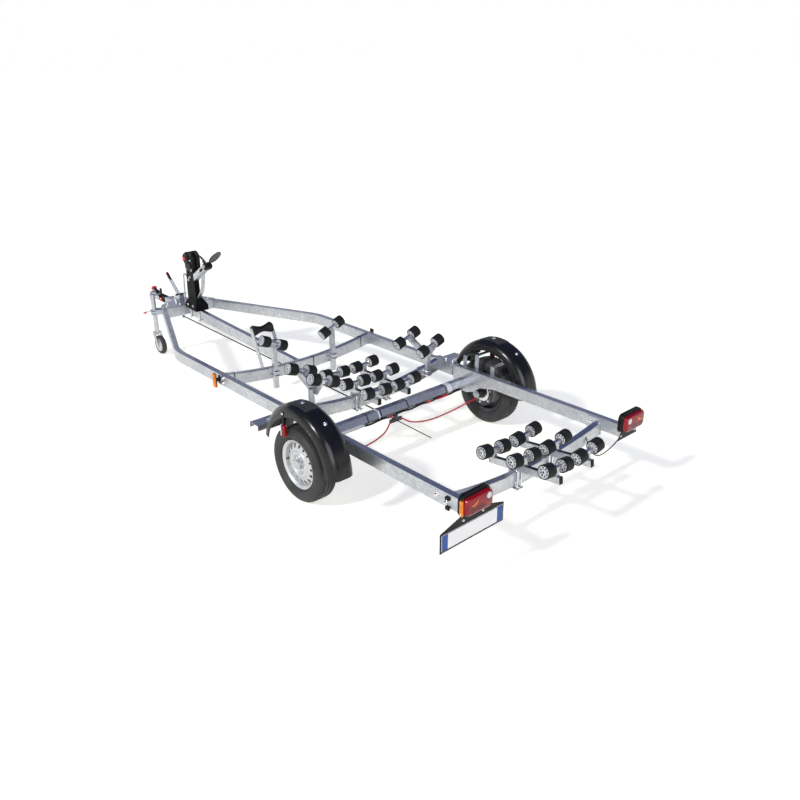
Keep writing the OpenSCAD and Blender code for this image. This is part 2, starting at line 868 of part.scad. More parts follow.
// Wheel rim outline, as radius and offset outward from the wheel's middle plane
rim_outline = [
  [rim_flange, rim_half - 5], [rim_flange, rim_half], [rim_flange - 6, rim_half],
  [rim_seat - 6, rim_half - 12], [rim_seat - 6, 24], [128, 40], [100, 48], [70, 48], [62, 36], [34, 36],
  [34, 28], [66, 28], [74, 41], [98, 41], [126, 33], [rim_seat - 6, 16], [rim_seat - 6, 12 - rim_half],
  [rim_flange - 6, -rim_half], [rim_flange, -rim_half], [rim_flange, 5 - rim_half],
  [rim_seat, -bead_half], [rim_seat, bead_half]];
// Brake drum and hub outline, closed by a cap over the stub axle
hub_outline = [
  [stub_r + running_gap, -drum_in], [drum_r, -drum_in], [drum_r, -20], [62, -12], [62, 30], [34, 30],
  [34, hub_cap], [0, hub_cap], [0, hub_cap - 8], [stub_r + running_gap, hub_cap - 8]];

module on_wheel() {
  translate([0, wheel_y, wheel_z])
    rotate([-90, 0, 0])
      children();
}

module rim() {
  color("silver")
    on_wheel() {
      difference() {
        rotate_extrude()
          polygon(rim_outline);
        for (k = [0:vent_count - 1])
          rotate([0, 0, 360 * k / vent_count])
            translate([144, 0, 0])
              cylinder(r = 8, h = 80, $fn = 24);
      }
      rotate_extrude()
        polygon(hub_outline);
    }
}

// Half of a tyre's outer outline, as radius and offset: bead, bulged sidewall, shoulder and tread
function tyre_half() =
  let (r0 = rim_flange + 1, r1 = tyre_r - 11, rm = (r0 + r1) / 2, h = tyre_w / 2)
  concat([[rim_seat, bead_half - 2], [r0, bead_half + 7]],
    [for (i = [1:7])
      let (r = r0 + (r1 - r0) * i / 7, q = (r - rm) / (r1 - rm))
      [r, h - (q > 0 ? 14 : 26) * q * q]],
    [[tyre_r - 4, h - 22], [tyre_r, h - 34]]);
// Half of its inner outline, from under the tread back to the bead
function tyre_hollow() =
  let (h = tyre_w / 2, tread_t = 15, side_t = 11, rm = (rim_flange + tyre_r - 11) / 2)
  [[tyre_r - tread_t, h - 44], [tyre_r - tread_t - 14, h - side_t - 14], [rm, h - side_t],
    [rim_flange + 10, bead_half + 2], [rim_seat, bead_half - 18]];
function flip(p) = [for (i = [len(p) - 1:-1:0]) [p[i][0], -p[i][1]]];

module tyre() {
  color(rubber)
    on_wheel()
      rotate_extrude($fn = 96)
        polygon(concat(tyre_half(), flip(tyre_half()), flip(tyre_hollow()), tyre_hollow()));
}

module rim_left() {
  rim();
}

module rim_right() {
  mirror([0, 1, 0])
    rim();
}

module tyre_left() {
  tyre();
}

module tyre_right() {
  mirror([0, 1, 0])
    tyre();
}

// Cast housing of the overrun brake, with the arm that pulls the brake rod
module overrun_housing() {
  color(dark_steel) {
    intersection() {
      translate([0, 0, rail_bottom - 20])
        linear_extrude(rail_h + 20)
          polygon([[housing_x0, -80], [housing_x0 + 60, -66], [housing_x1, -50], [housing_x1, 50],
            [housing_x0 + 60, 66], [housing_x0, 80]]);
      along_y(200)
        polygon([[housing_x0, rail_bottom + 4], [housing_x0 + 220, rail_bottom - 8], [housing_x1, shaft_z - 48],
          [housing_x1, shaft_z + 46], [housing_x0 + 220, rail_top], [housing_x0, rail_top]]);
    }
    translate([rod_x0, -12, rod_z0 - 18])
      cube([14, 24, rail_bottom - rod_z0 + 30]);
  }
}

module overrun_bellows() {
  folds = 6;
  pitch = (head_x0 - housing_x1) / folds;
  color(rubber)
    translate([housing_x1, 0, shaft_z])
      rotate([0, 90, 0])
        rotate_extrude()
          polygon(concat([[0, 0]], [for (k = [0:folds - 1]) for (q = [[34, 0], [43, 0.5]])
            [q[0], (k + q[1]) * pitch]], [[34, folds * pitch], [0, folds * pitch]]));
}

// Coupling head with its neck and the seat for the ball
module coupling_head() {
  socket_h = 38;
  mouth = ball_z - 26;
  color(steel)
    difference() {
      union() {
        translate([ball_x, 0, mouth])
          cylinder(r = head_r, h = 60);
        translate([ball_x, 0, mouth + 60])
          cylinder(r1 = head_r, r2 = head_r - 22, h = 22);
        along_y(68)
          polygon([[head_x0 + 20, shaft_z - 32], [ball_x, mouth + 14], [ball_x, neck_top],
            [head_x0 + 20, neck_top]]);
        translate([head_x0, 0, shaft_z])
          rotate([0, 90, 0])
            cylinder(r = 40, h = 60);
      }
      translate([ball_x, 0, mouth - 1])
        cylinder(r = ball_d / 2, h = socket_h + 1);
    }
}

// Release handle that lies on the neck and rises over the head
module coupling_handle() {
  seat = [head_x0 + 64, neck_top];
  tip = [ball_x - 20, ball_z + 92];
  u = unit(tip - seat);
  n = [-u[1], u[0]];
  color(black) {
    along_y(34)
      polygon([seat, seat + [40, 0], tip - n * 10, tip + n * 10, seat + [0, 30]]);
    translate([tip[0], 0, tip[1]])
      rotate([90, 0, 0])
        cylinder(r = 18, h = 60, center = true);
  }
}

// Hand brake: bracket on the nose plate, channel lever, grip and cross pin
module brake_lever() {
  base = [housing_x0 + 170, rail_top + nose_plate_t];
  pivot = base + [10, 46];
  tip = base + [240, 252];
  u = unit(tip - pivot);
  n = [-u[1], u[0]];
  grip = tip - u * 110;
  color(steel) {
    for (y = [-30, 22])
      translate([base[0] - 50, y, base[1]])
        cube([120, 8, 60]);
    along_y(30)
      polygon([pivot - n * 15 - u * 20, grip - n * 12, grip + n * 12, pivot + n * 15 - u * 20]);
    translate([pivot[0], 0, pivot[1]])
      rotate([90, 0, 0])
        cylinder(r = 9, h = 120, center = true);
    translate([grip[0], 0, grip[1]])
      rotate([0, atan2(u[0], u[1]), 0])
        cylinder(r = 16, h = 110);
  }
}

// Pull rod under the drawbar, with the equaliser that hangs from the axle
module brake_rod() {
  d = [rod_x1 - rod_x0, rod_z1 - rod_z0];
  color(dark_steel) {
    translate([rod_x0, 0, rod_z0])
      rotate([0, atan2(d[0], d[1]), 0])
        cylinder(r = rod_r, h = norm(d));
    translate([rod_x1, 0, rod_z1])
      rotate([0, -92, 0])
        cylinder(r = rod_r - 2, h = 400);
    translate([rod_x1 - 9, -equaliser_w / 2, rod_z1 - 14])
      cube([18, equaliser_w, 28]);
    translate([rod_x1 - 9, -16, rod_z1])
      cube([18, 32, axle_z - axle_af / 2 - rod_z1]);
  }
}

brake_cable_r = 6;

// Brake cables, as columns: share of the way out, share of the way back to the wheel axis, drop
cable_way = [[-0.01, 0, -4], [0.11, 0.29, 55], [0.33, 0.5, 82], [0.62, 0.63, 70], [0.89, 0.79, 36],
  [1.01, 0.88, 29]];

module brake_cables() {
  y0 = equaliser_w / 2;
  color(red)
    both_sides()
      intersection() {
        cable([for (q = cable_way) [rod_x1 * (1 - q[1]), y0 + (backplate_y - y0) * q[0], rod_z1 - q[2]]],
          brake_cable_r, 5);
        translate([-rod_x1, y0, 0])
          cube([3 * rod_x1, backplate_y - y0, rail_bottom]);
      }
}

// Lead that hangs from the right lamp and comes up to the rear cross-member
module lamp_lead() {
  out_z = lamp_z - lamp_h / 2;
  back_x = rear_arch[0] - rail_w / 2;
  color(black)
    intersection() {
      cable([[lamp_x - 7, -lamp_y + lamp_w * 0.19, out_z + 3], [lamp_x + 5, -lamp_y + 110, out_z - 85],
        [lamp_x + 70, -lamp_y + 180, out_z - 180], [back_x - 45, -lamp_y + 205, out_z - 165],
        [back_x + 3, -lamp_y + 220, out_z - 60]], 4, 5);
      translate([lamp_x - lamp_w, -rail_out, 0])
        cube([back_x - lamp_x + lamp_w, rail_out, out_z]);
    }
}

// Clamp on the left rail that holds the jockey tube, with its screw and tommy bar
module jockey_clamp() {
  plate_len = 90;
  plate_reach = jockey_stand_off * cos(bend_angle) - 10;
  screw_end = 60;
  color(dark_steel) {
    translate([jockey_x, jockey_y, clamp_z])
      linear_extrude(clamp_h)
        difference() {
          union() {
            rotate(90)
              circle(r = clamp_r);
            translate([0, -jockey_stand_off])
              rotate(-bend_angle)
                translate([20 - plate_len, 0])
                  square([plate_len, plate_reach]);
          }
          circle(r = jockey_tube_r + running_gap);
        }
    translate([jockey_x, jockey_y, clamp_z + clamp_h / 2]) {
      translate([clamp_r - 6, 0, 0])
        rotate([0, 90, 0])
          cylinder(r = 9, h = screw_end - clamp_r + 6);
      translate([screw_end, 0, 0]) {
        rotate([90, 0, 0])
          rotate([0, 0, 90])
            cylinder(r = 13, h = 22, center = true);
        rotate([0, 110, 0])
          cylinder(r = 6, h = 220);
      }
    }
  }
}

// Jockey tube with its cap, crank and the swivel pin at its foot
module jockey_tube() {
  color(steel)
    translate([jockey_x, jockey_y, 0]) {
      translate([0, 0, fork_top])
        cylinder(r = jockey_tube_r, h = jockey_top - fork_top);
      translate([0, 0, fork_top - swivel_len])
        cylinder(r = swivel_r, h = swivel_len);
      translate([0, 0, jockey_top])
        cylinder(r = jockey_tube_r + 4, h = 16);
      translate([0, 0, jockey_top + 8])
        rotate([90, 0, 0])
          cylinder(r = 6, h = 110);
    }
}

module jockey_fork() {
  cheek = [[-crown_r, fork_top - swivel_len], [crown_r, fork_top - swivel_len],
    [-jockey_trail + 20, jockey_r - 14], [-jockey_trail - 16, jockey_r - 18],
    [-jockey_trail - 20, jockey_r + 14]];
  color(steel)
    translate([jockey_x, jockey_y, 0]) {
      difference() {
        translate([-crown_r, -fork_half, fork_top - swivel_len])
          cube([2 * crown_r, 2 * fork_half, swivel_len - 0.5]);
        cylinder(r = swivel_r + running_gap, h = 2 * fork_top);
      }
      both_sides()
        translate([0, fork_half - fork_t / 2, 0])
          along_y(fork_t)
            polygon(cheek);
      translate([-jockey_trail, 0, jockey_r])
        rotate([90, 0, 0])
          cylinder(r = jockey_axle_r, h = 2 * fork_half, center = true);
    }
}

module jockey_wheel() {
  h = jockey_w / 2;
  bore = jockey_axle_r + running_gap;
  color(rubber)
    translate([jockey_x - jockey_trail, jockey_y, jockey_r])
      rotate([90, 0, 0])
        rotate_extrude()
          polygon([[bore, -h], [26, -h], [32, 8 - h], [62, 8 - h], [68, 2 - h], [jockey_r - 10, 4 - h],
            [jockey_r, 16 - h], [jockey_r, h - 16], [jockey_r - 10, h - 4], [68, h - 2], [62, h - 8], [32, h - 8],
            [26, h], [bore, h]]);
}

translate([-mid_x, 0, 0]) {
  side_rail_left();
  side_rail_right();
  drawbar();
  front_beam();
  cross_front();
  cross_main();
  cross_rear();
  axle_tube();
  swing_arms();
  mudguards();
  mudguard_stays();
  lamp_housings();
  lamp_lenses();
  plate_holder();
  number_plate();
  marker_lamps();
  winch_post();
  winch_housing();
  bow_stop_arm();
  bow_stop_pads();
  keel_bracket();
  roller_posts();
  cradles();
  cradle_brackets();
  coupling_head();
  overrun_housing();
  overrun_bellows();
  coupling_handle();
  brake_lever();
  brake_rod();
  brake_cables();
  lamp_lead();
  jockey_clamp();
  rim_left();
  tyre_left();
  rim_right();
  tyre_right();
  jockey_tube();
  jockey_fork();
  jockey_wheel();
  keel_roller();
  for (p = pairs)
    roller_pair(p);
}
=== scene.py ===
"""Boat trailer: finishes, fittings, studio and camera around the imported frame.

Places are in metres, measured from the wheel axis: X forward to the coupling, Y to the left, Z up
from the ground. Datum turns them into the frame's own coordinates. An outline that is turned holds
radius and height; one that is drawn out holds two places across.
"""

from __future__ import annotations

import json
import logging
import math
from collections.abc import Callable, Sequence
from dataclasses import dataclass, field
from enum import Enum

import bmesh
import bpy
from mathutils import Matrix, Vector

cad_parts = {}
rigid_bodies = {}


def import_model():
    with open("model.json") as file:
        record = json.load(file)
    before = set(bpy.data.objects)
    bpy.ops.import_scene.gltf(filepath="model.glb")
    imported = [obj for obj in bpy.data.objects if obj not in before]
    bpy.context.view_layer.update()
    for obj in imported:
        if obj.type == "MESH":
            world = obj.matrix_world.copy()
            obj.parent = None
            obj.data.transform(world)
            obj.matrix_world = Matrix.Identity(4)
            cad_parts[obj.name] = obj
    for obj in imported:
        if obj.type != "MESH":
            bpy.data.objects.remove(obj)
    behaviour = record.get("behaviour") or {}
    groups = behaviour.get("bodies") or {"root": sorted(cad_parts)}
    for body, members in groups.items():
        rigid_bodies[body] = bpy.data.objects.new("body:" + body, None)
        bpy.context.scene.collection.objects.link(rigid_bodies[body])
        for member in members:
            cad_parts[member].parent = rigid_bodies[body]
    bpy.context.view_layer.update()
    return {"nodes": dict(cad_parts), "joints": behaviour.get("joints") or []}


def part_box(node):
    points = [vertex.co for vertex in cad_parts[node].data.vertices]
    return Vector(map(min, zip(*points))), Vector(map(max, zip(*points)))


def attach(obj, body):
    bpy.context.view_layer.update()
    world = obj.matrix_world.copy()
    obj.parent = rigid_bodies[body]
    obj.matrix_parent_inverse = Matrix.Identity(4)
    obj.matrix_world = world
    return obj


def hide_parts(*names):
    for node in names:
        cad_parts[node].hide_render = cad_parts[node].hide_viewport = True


LOG = logging.getLogger("boat_trailer")
FORE, LEFT, UP = Vector((1, 0, 0)), Vector((0, 1, 0)), Vector((0, 0, 1))
RAIL_OUT = 0.805
RAIL_TOP = 0.5
NOSE_TOP = 0.508

Colour = tuple[float, float, float]
Place = tuple[float, float, float]
Outline = list[tuple[float, float]]
Steps = Sequence[tuple[float, float]]


class Side(Enum):
    """The two sides of the trailer, with the sign of Y."""

    LEFT = 1
    RIGHT = -1

    @property
    def word(self) -> str:
        """The side's name in node and piece names."""
        return self.name.lower()

    @property
    def out(self) -> Vector:
        """Direction out of the trailer on this side."""
        return Vector((0, self.value, 0))

    def once(self, node: str) -> list[str]:
        """Names a node that covers both sides on the left side alone, for the pieces that replace it."""
        return [node] if self is Side.LEFT else []


@dataclass(frozen=True)
class Datum:
    """Place of the wheel axis in the frame's coordinates."""

    wheel_x: float

    def at(self, x: float, y: float, z: float) -> Vector:
        """Turns a place measured from the wheel axis into the frame's coordinates."""
        return Vector((x + self.wheel_x, y, z))

    def beside(self, side: Side, x: float, y: float, z: float) -> Vector:
        """Does the same for a place on one side, with Y counted outward."""
        return self.at(x, side.value * y, z)


def axes(origin: Vector, z_axis: Vector, x_hint: Vector = FORE) -> Matrix:
    """Makes a placing matrix from an origin and an axis.

    Args:
        origin: Where the local origin goes.
        z_axis: Direction of the local Z axis.
        x_hint: Rough direction of the local X axis.

    Returns:
        A matrix whose X axis is as near to x_hint as it can be.
    """
    z = z_axis.normalized()
    x = x_hint - z * x_hint.dot(z)
    if x.length < 1e-4:
        x = z.orthogonal()
    x.normalize()
    turn = Matrix((x, z.cross(x), z)).transposed().to_4x4()
    return Matrix.Translation(origin) @ turn


def moved(place: Matrix, x: float, y: float, z: float) -> Matrix:
    """Moves a placing along its own axes."""
    return place @ Matrix.Translation((x, y, z))


def spun(place: Matrix, degrees: float) -> Matrix:
    """Turns a placing about its own Z axis."""
    return place @ Matrix.Rotation(math.radians(degrees), 4, "Z")


def faces_of(place: Matrix) -> list[Matrix]:
    """Gives a placing twice: as it is, and with its Z axis the other way."""
    return [place @ Matrix.Diagonal((1, s, s, 1)) for s in (1, -1)]


def arc(x: float, y: float, radius: float, start: float, sweep: float, steps: int) -> Outline:
    """Points of a circular arc.

    Args:
        x: First place of the centre.
        y: Second place of the centre.
        radius: The arc's radius.
        start: First angle in degrees.
        sweep: Angle covered, in degrees.
        steps: Number of steps.

    Returns:
        One point more than there are steps.
    """
    turns = [math.radians(start + sweep * k / steps) for k in range(steps + 1)]
    return [(x + radius * math.cos(a), y + radius * math.sin(a)) for a in turns]


def rounded(width: float, height: float, radius: float, steps: int = 6) -> Outline:
    """Outline of a rounded rectangle about the origin, anticlockwise."""
    out: Outline = []
    for cx, cy, start in ((1, 1, 0), (-1, 1, 90), (-1, -1, 180), (1, -1, 270)):
        out += arc(cx * (width / 2 - radius), cy * (height / 2 - radius), radius, start, 90, steps)
    return out


def oval(width: float, height: float, steps: int) -> Outline:
    """Outline of an ellipse about the origin, anticlockwise."""
    turn = 2 * math.pi / steps
    return [(width / 2 * math.cos(k * turn), height / 2 * math.sin(k * turn)) for k in range(steps)]


def hexagon(radius: float) -> Outline:
    """Outline of a hexagon by its corners' radius."""
    return arc(0, 0, radius, 0, 300, 5)


def both(half: Outline) -> Outline:
    """Joins half of a section to its mirror image in height."""
    return half + [(r, -h) for r, h in reversed(half)]


def inset(outline: Outline, by: float) -> Outline:
    """Moves each edge of an anticlockwise outline inward.

    Args:
        outline: The points of the closed outline.
        by: How far each edge moves.

    Returns:
        The moved points, one for each point of the outline.
    """
    out: Outline = []
    count = len(outline)
    for k in range(count):
        before, here, after = (Vector(outline[(k + d) % count]) for d in (-1, 0, 1))
        a, b = (here - before).normalized(), (after - here).normalized()
        na, nb = Vector((-a.y, a.x)), Vector((-b.y, b.x))
        spread = max(0.3, 1 + na.dot(nb))
        out.append(tuple(here + (na + nb) / spread * by))
    return out


class Graph:
    """Short way to add and join shader nodes in one tree."""

    def __init__(self, tree: bpy.types.NodeTree) -> None:
        """Keeps the tree that nodes are added to."""
        self.tree = tree

    def fill(self, node: bpy.types.Node, inputs: dict) -> None:
        """Sets a node's inputs, each to a value or to the socket that feeds it."""
        for key, value in inputs.items():
            if isinstance(value, bpy.types.NodeSocket):
                self.tree.links.new(value, node.inputs[key])
            else:
                node.inputs[key].default_value = value

    def node(self, kind: str, inputs: dict | None = None, **settings: object) -> bpy.types.Node:
        """Adds a node.

        Args:
            kind: The node's Blender type.
            inputs: Socket name or number, to a value or to the socket that feeds it.
            settings: Properties of the node.

        Returns:
            The new node.
        """
        made = self.tree.nodes.new(kind)
        for key, value in settings.items():
            setattr(made, key, value)
        self.fill(made, inputs or {})
        return made

    def place(self, kind: str = "Object") -> bpy.types.NodeSocket:
        """Gives texture coordinates, those of the object if not told otherwise."""
        return self.node("ShaderNodeTexCoord").outputs[kind]

    def calc(self, operation: str, a: object, b: object, **settings: object) -> bpy.types.NodeSocket:
        """Gives the result of a sum on two values or sockets."""
        return self.node("ShaderNodeMath", {0: a, 1: b}, operation=operation, **settings).outputs[0]

    def noise(self, place: bpy.types.NodeSocket, scale: object, detail: float, **more: float) -> bpy.types.NodeSocket:
        """Gives cloudy noise between 0 and 1."""
        inputs = {"Vector": place, "Scale": scale, "Detail": detail, **more}
        return self.node("ShaderNodeTexNoise", inputs).outputs["Fac"]

    def ramp(self, value: bpy.types.NodeSocket, low: float, high: float, to_low: object = 0.0,
             to_high: object = 1.0, **settings: object) -> bpy.types.NodeSocket:
        """Maps a range of a value onto another range.

        Args:
            value: What is mapped.
            low: Where the range starts.
            high: Where it ends.
            to_low: What the start becomes.
            to_high: What the end becomes.
            settings: Properties of the node.

        Returns:
            The mapped value.
        """
        inputs = {"Value": value, "From Min": low, "From Max": high, "To Min": to_low, "To Max": to_high}
        return self.node("ShaderNodeMapRange", inputs, **settings).outputs[0]

    def mix(self, share: bpy.types.NodeSocket, first: object, second: object) -> bpy.types.NodeSocket:
        """Blends two colours by the second one's share."""
        return self.node("ShaderNodeMix", {0: share, 6: first, 7: second}, data_type="RGBA").outputs[2]

    def effect(self, effect: Effect, values: dict) -> bpy.types.Node:
        """Adds a shared effect's group with its own values."""
        return self.node("ShaderNodeGroup", values, node_tree=effect.group())


class Effect(Enum):
    """Surface effects that several finishes share, each a shader node group."""

    SPANGLE = "zinc_spangle"
    MOTTLE = "tone_mottle"
    GRAIN = "moulded_grain"
    RUB = "rubbed_edges"

    def group(self) -> bpy.types.NodeTree:
        """Gives the effect's node group, built on first use."""
        ready = bpy.data.node_groups.get(self.value)
        return ready if ready else EFFECT_MAKERS[self](self.value)


def new_group(name: str, takes: dict[str, object], gives: dict[str, str]) -> tuple[Graph, object, bpy.types.Node]:
    """Starts a shader node group.

    Args:
        name: The group's name.
        takes: Input name to its default, a number or a colour.
        gives: Output name to its socket type's last word.

    Returns:
        The graph, the group's inputs by name and the node that takes its outputs.
    """
    tree = bpy.data.node_groups.new(name, "ShaderNodeTree")
    for label, default in takes.items():
        kind = "NodeSocketFloat" if isinstance(default, float) else "NodeSocketColor"
        made = tree.interface.new_socket(label, in_out="INPUT", socket_type=kind)
        made.default_value = default
    for label, kind in gives.items():
        tree.interface.new_socket(label, in_out="OUTPUT", socket_type="NodeSocket" + kind)
    graph = Graph(tree)
    return graph, graph.node("NodeGroupInput").outputs, graph.node("NodeGroupOutput")


def spangle_group(name: str) -> bpy.types.NodeTree:
    """Zinc crystals with cloudy patches: a colour, a roughness and a height."""
    takes = {"Light": (0.8, 0.8, 0.8, 1), "Dark": (0.6, 0.6, 0.6, 1), "Scale": 60.0, "Smooth": 0.3, "Rough": 0.45}
    g, src, sink = new_group(name, takes, {"Color": "Color", "Roughness": "Float", "Height": "Float"})
    place = g.place()
    crystal = g.node("ShaderNodeTexVoronoi", {"Vector": place, "Scale": src["Scale"], "Randomness": 1.0})
    level = g.node("ShaderNodeSeparateColor", {"Color": crystal.outputs["Color"]}).outputs["Red"]
    patch = g.ramp(g.noise(place, 4.0, 6.0, Roughness=0.6), 0.3, 0.7, 0.0, 0.4)
    fine = g.ramp(g.noise(place, 23.0, 4.0), 0.35, 0.65, 0.0, 0.25)
    tone = g.calc("ADD", g.calc("ADD", g.calc("MULTIPLY", level, 0.45), patch), fine, use_clamp=True)
    g.fill(sink, {"Color": g.mix(tone, src["Light"], src["Dark"]),
                  "Roughness": g.ramp(tone, 0.0, 1.0, src["Smooth"], src["Rough"]), "Height": tone})
    return g.tree


def mottle_group(name: str) -> bpy.types.NodeTree:
    """Uneven tone with pale dust on faces that look up: a colour and a mask."""
    takes = {"Base": (0.1, 0.1, 0.1, 1), "Dust": (0.4, 0.4, 0.4, 1), "Scale": 12.0, "Vary": 0.25, "Settle": 0.15}
    g, src, sink = new_group(name, takes, {"Color": "Color", "Mask": "Float"})
    place = g.place()
    swing = g.ramp(g.noise(place, src["Scale"], 5.0), 0.25, 0.75, -1.0, 1.0)
    gain = g.calc("ADD", g.calc("MULTIPLY", swing, src["Vary"]), 1.0)
    toned = g.node("ShaderNodeVectorMath", {0: src["Base"], "Scale": gain}, operation="SCALE").outputs[0]
    normal = g.node("ShaderNodeNewGeometry").outputs["Normal"]
    lying = g.ramp(g.node("ShaderNodeSeparateXYZ", {0: normal}).outputs["Z"], 0.2, 1.0)
    speck = g.ramp(g.noise(place, 35.0, 8.0), 0.4, 0.75)
    mask = g.calc("MULTIPLY", g.calc("MULTIPLY", lying, speck), src["Settle"], use_clamp=True)
    g.fill(sink, {"Color": g.mix(mask, toned, src["Dust"]), "Mask": mask})
    return g.tree


def grain_group(name: str) -> bpy.types.NodeTree:
    """Pebbled skin of moulded rubber and plastic: a height and a roughness."""
    takes = {"Scale": 400.0, "Smooth": 0.4, "Rough": 0.6}
    g, src, sink = new_group(name, takes, {"Height": "Float", "Roughness": "Float"})
    place = g.place()
    pebble = g.node("ShaderNodeTexVoronoi", {"Vector": place, "Scale": src["Scale"]}).outputs["Distance"]
    rough = g.ramp(g.noise(place, 18.0, 6.0), 0.3, 0.7, src["Smooth"], src["Rough"])
    g.fill(sink, {"Height": pebble, "Roughness": rough})
    return g.tree


def rub_group(name: str) -> bpy.types.NodeTree:
    """Edges rubbed through to a paler tone: a colour and a mask."""
    takes = {"Base": (0.1, 0.1, 0.1, 1), "Bare": (0.5, 0.5, 0.5, 1), "Amount": 0.5}
    g, src, sink = new_group(name, takes, {"Color": "Color", "Mask": "Float"})
    soft = g.node("ShaderNodeBevel", {"Radius": 0.003}, samples=4).outputs["Normal"]
    true = g.node("ShaderNodeNewGeometry").outputs["True Normal"]
    match = g.node("ShaderNodeVectorMath", {0: soft, 1: true}, operation="DOT_PRODUCT").outputs["Value"]
    edge = g.ramp(match, 0.99, 0.85)
    broken = g.ramp(g.noise(g.place(), 60.0, 6.0), 0.4, 0.65)
    mask = g.calc("MULTIPLY", g.calc("MULTIPLY", edge, broken), src["Amount"], use_clamp=True)
    g.fill(sink, {"Color": g.mix(mask, src["Base"], src["Bare"]), "Mask": mask})
    return g.tree


EFFECT_MAKERS: dict[Effect, Callable[[str], bpy.types.NodeTree]] = {
    Effect.SPANGLE: spangle_group,
    Effect.MOTTLE: mottle_group,
    Effect.GRAIN: grain_group,
    Effect.RUB: rub_group,
}


def rgba(colour: Colour) -> tuple[float, float, float, float]:
    """Adds a full alpha to a colour."""
    return (*colour, 1.0)


@dataclass(frozen=True)
class Finish:
    """A named surface finish that makes its own material."""

    name: str
    colour: Colour

    def material(self) -> bpy.types.Material:
        """Gives the finish's material, built on first use."""
        name = f"finish_{self.name}"
        ready = bpy.data.materials.get(name)
        if ready:
            return ready
        made = bpy.data.materials.new(name)
        made.use_nodes = True
        made.diffuse_color = rgba(self.colour)
        self.shade(Graph(made.node_tree), made.node_tree.nodes["Principled BSDF"])
        return made

    def shade(self, graph: Graph, skin: bpy.types.Node) -> None:
        """Joins the finish's nodes to the surface shader; each kind of finish has its own."""
        graph.fill(skin, {"Base Color": rgba(self.colour)})

    @staticmethod
    def bump(graph: Graph, height: bpy.types.NodeSocket, depth: float, strength: float) -> bpy.types.NodeSocket:
        """Turns a height into a normal."""
        inputs = {"Height": height, "Distance": depth, "Strength": strength}
        return graph.node("ShaderNodeBump", inputs).outputs["Normal"]


@dataclass(frozen=True)
class Zinc(Finish):
    """Galvanised steel with crystals and cloudy patches."""

    dark: Colour = (0.5, 0.54, 0.6)
    scale: float = 70.0
    smooth: float = 0.3
    rough: float = 0.46
    metallic: float = 0.9

    def shade(self, graph: Graph, skin: bpy.types.Node) -> None:
        """Joins the crystals to colour, roughness and a faint relief."""
        zinc = graph.effect(Effect.SPANGLE, {
            "Light": rgba(self.colour), "Dark": rgba(self.dark), "Scale": self.scale, "Smooth": self.smooth,
            "Rough": self.rough}).outputs
        graph.fill(skin, {
            "Base Color": zinc["Color"], "Roughness": zinc["Roughness"], "Metallic": self.metallic,
            "Normal": self.bump(graph, zinc["Height"], depth=0.0004, strength=0.25)})


@dataclass(frozen=True)
class Moulded(Finish):
    """Rubber or plastic from a mould, with a pebbled skin and a little dust."""

    dust: Colour = (0.32, 0.32, 0.33)
    grain: float = 420.0
    smooth: float = 0.35
    rough: float = 0.5
    relief: float = 0.25
    settle: float = 0.12
    vary: float = 0.25
    coat: float = 0.0
    sheen: float = 0.3

    def shade(self, graph: Graph, skin: bpy.types.Node) -> None:
        """Joins tone, dust and pebbles to the shader."""
        tone = graph.effect(Effect.MOTTLE, {
            "Base": rgba(self.colour), "Dust": rgba(self.dust), "Vary": self.vary, "Settle": self.settle}).outputs
        grain = graph.effect(Effect.GRAIN, {
            "Scale": self.grain, "Smooth": self.smooth, "Rough": self.rough}).outputs
        graph.fill(skin, {
            "Base Color": tone["Color"], "Roughness": grain["Roughness"], "Specular IOR Level": self.sheen,
            "Coat Weight": self.coat, "Coat Roughness": 0.18,
            "Normal": self.bump(graph, grain["Height"], depth=0.0005, strength=self.relief)})


@dataclass(frozen=True)
class Paint(Finish):
    """Satin paint on steel, rubbed at the edges."""

    bare: Colour = (0.4, 0.41, 0.43)
    rubbed: float = 0.5
    smooth: float = 0.28
    rough: float = 0.42
    sheen: float = 0.3

    def shade(self, graph: Graph, skin: bpy.types.Node) -> None:
        """Joins the rubbed edges over an uneven tone, with a faint orange peel."""
        tone = graph.effect(Effect.MOTTLE, {"Base": rgba(self.colour), "Vary": 0.15, "Settle": 0.06}).outputs
        worn = graph.effect(Effect.RUB, {
            "Base": tone["Color"], "Bare": rgba(self.bare), "Amount": self.rubbed}).outputs
        peel = graph.effect(Effect.GRAIN, {"Scale": 300.0, "Smooth": self.smooth, "Rough": self.rough}).outputs
        graph.fill(skin, {
            "Base Color": worn["Color"], "Roughness": peel["Roughness"], "Specular IOR Level": self.sheen,
            "Normal": self.bump(graph, peel["Height"], depth=0.0003, strength=0.12)})


@dataclass(frozen=True)
class Lens(Finish):
    """Clear-coated lamp plastic with small prisms inside."""

    deep: Colour = (0.2, 0.01, 0.01)
    prism: float = 150.0

    def shade(self, graph: Graph, skin: bpy.types.Node) -> None:
        """Joins a grid of prisms to the colour and the relief."""
        place = graph.place()
        cells = graph.node("ShaderNodeTexVoronoi", {"Vector": place, "Scale": self.prism, "Randomness": 0.15},
                           distance="CHEBYCHEV").outputs["Distance"]
        level = graph.ramp(graph.calc("MULTIPLY", cells, graph.noise(place, 14.0, 2.0)), 0.05, 0.4)
        graph.fill(skin, {
            "Base Color": graph.mix(level, rgba(self.colour), rgba(self.deep)), "Roughness": 0.2,
            "Specular IOR Level": 0.3, "Coat Weight": 0.25, "Coat Roughness": 0.08,
            "Normal": self.bump(graph, cells, depth=0.0008, strength=0.3)})


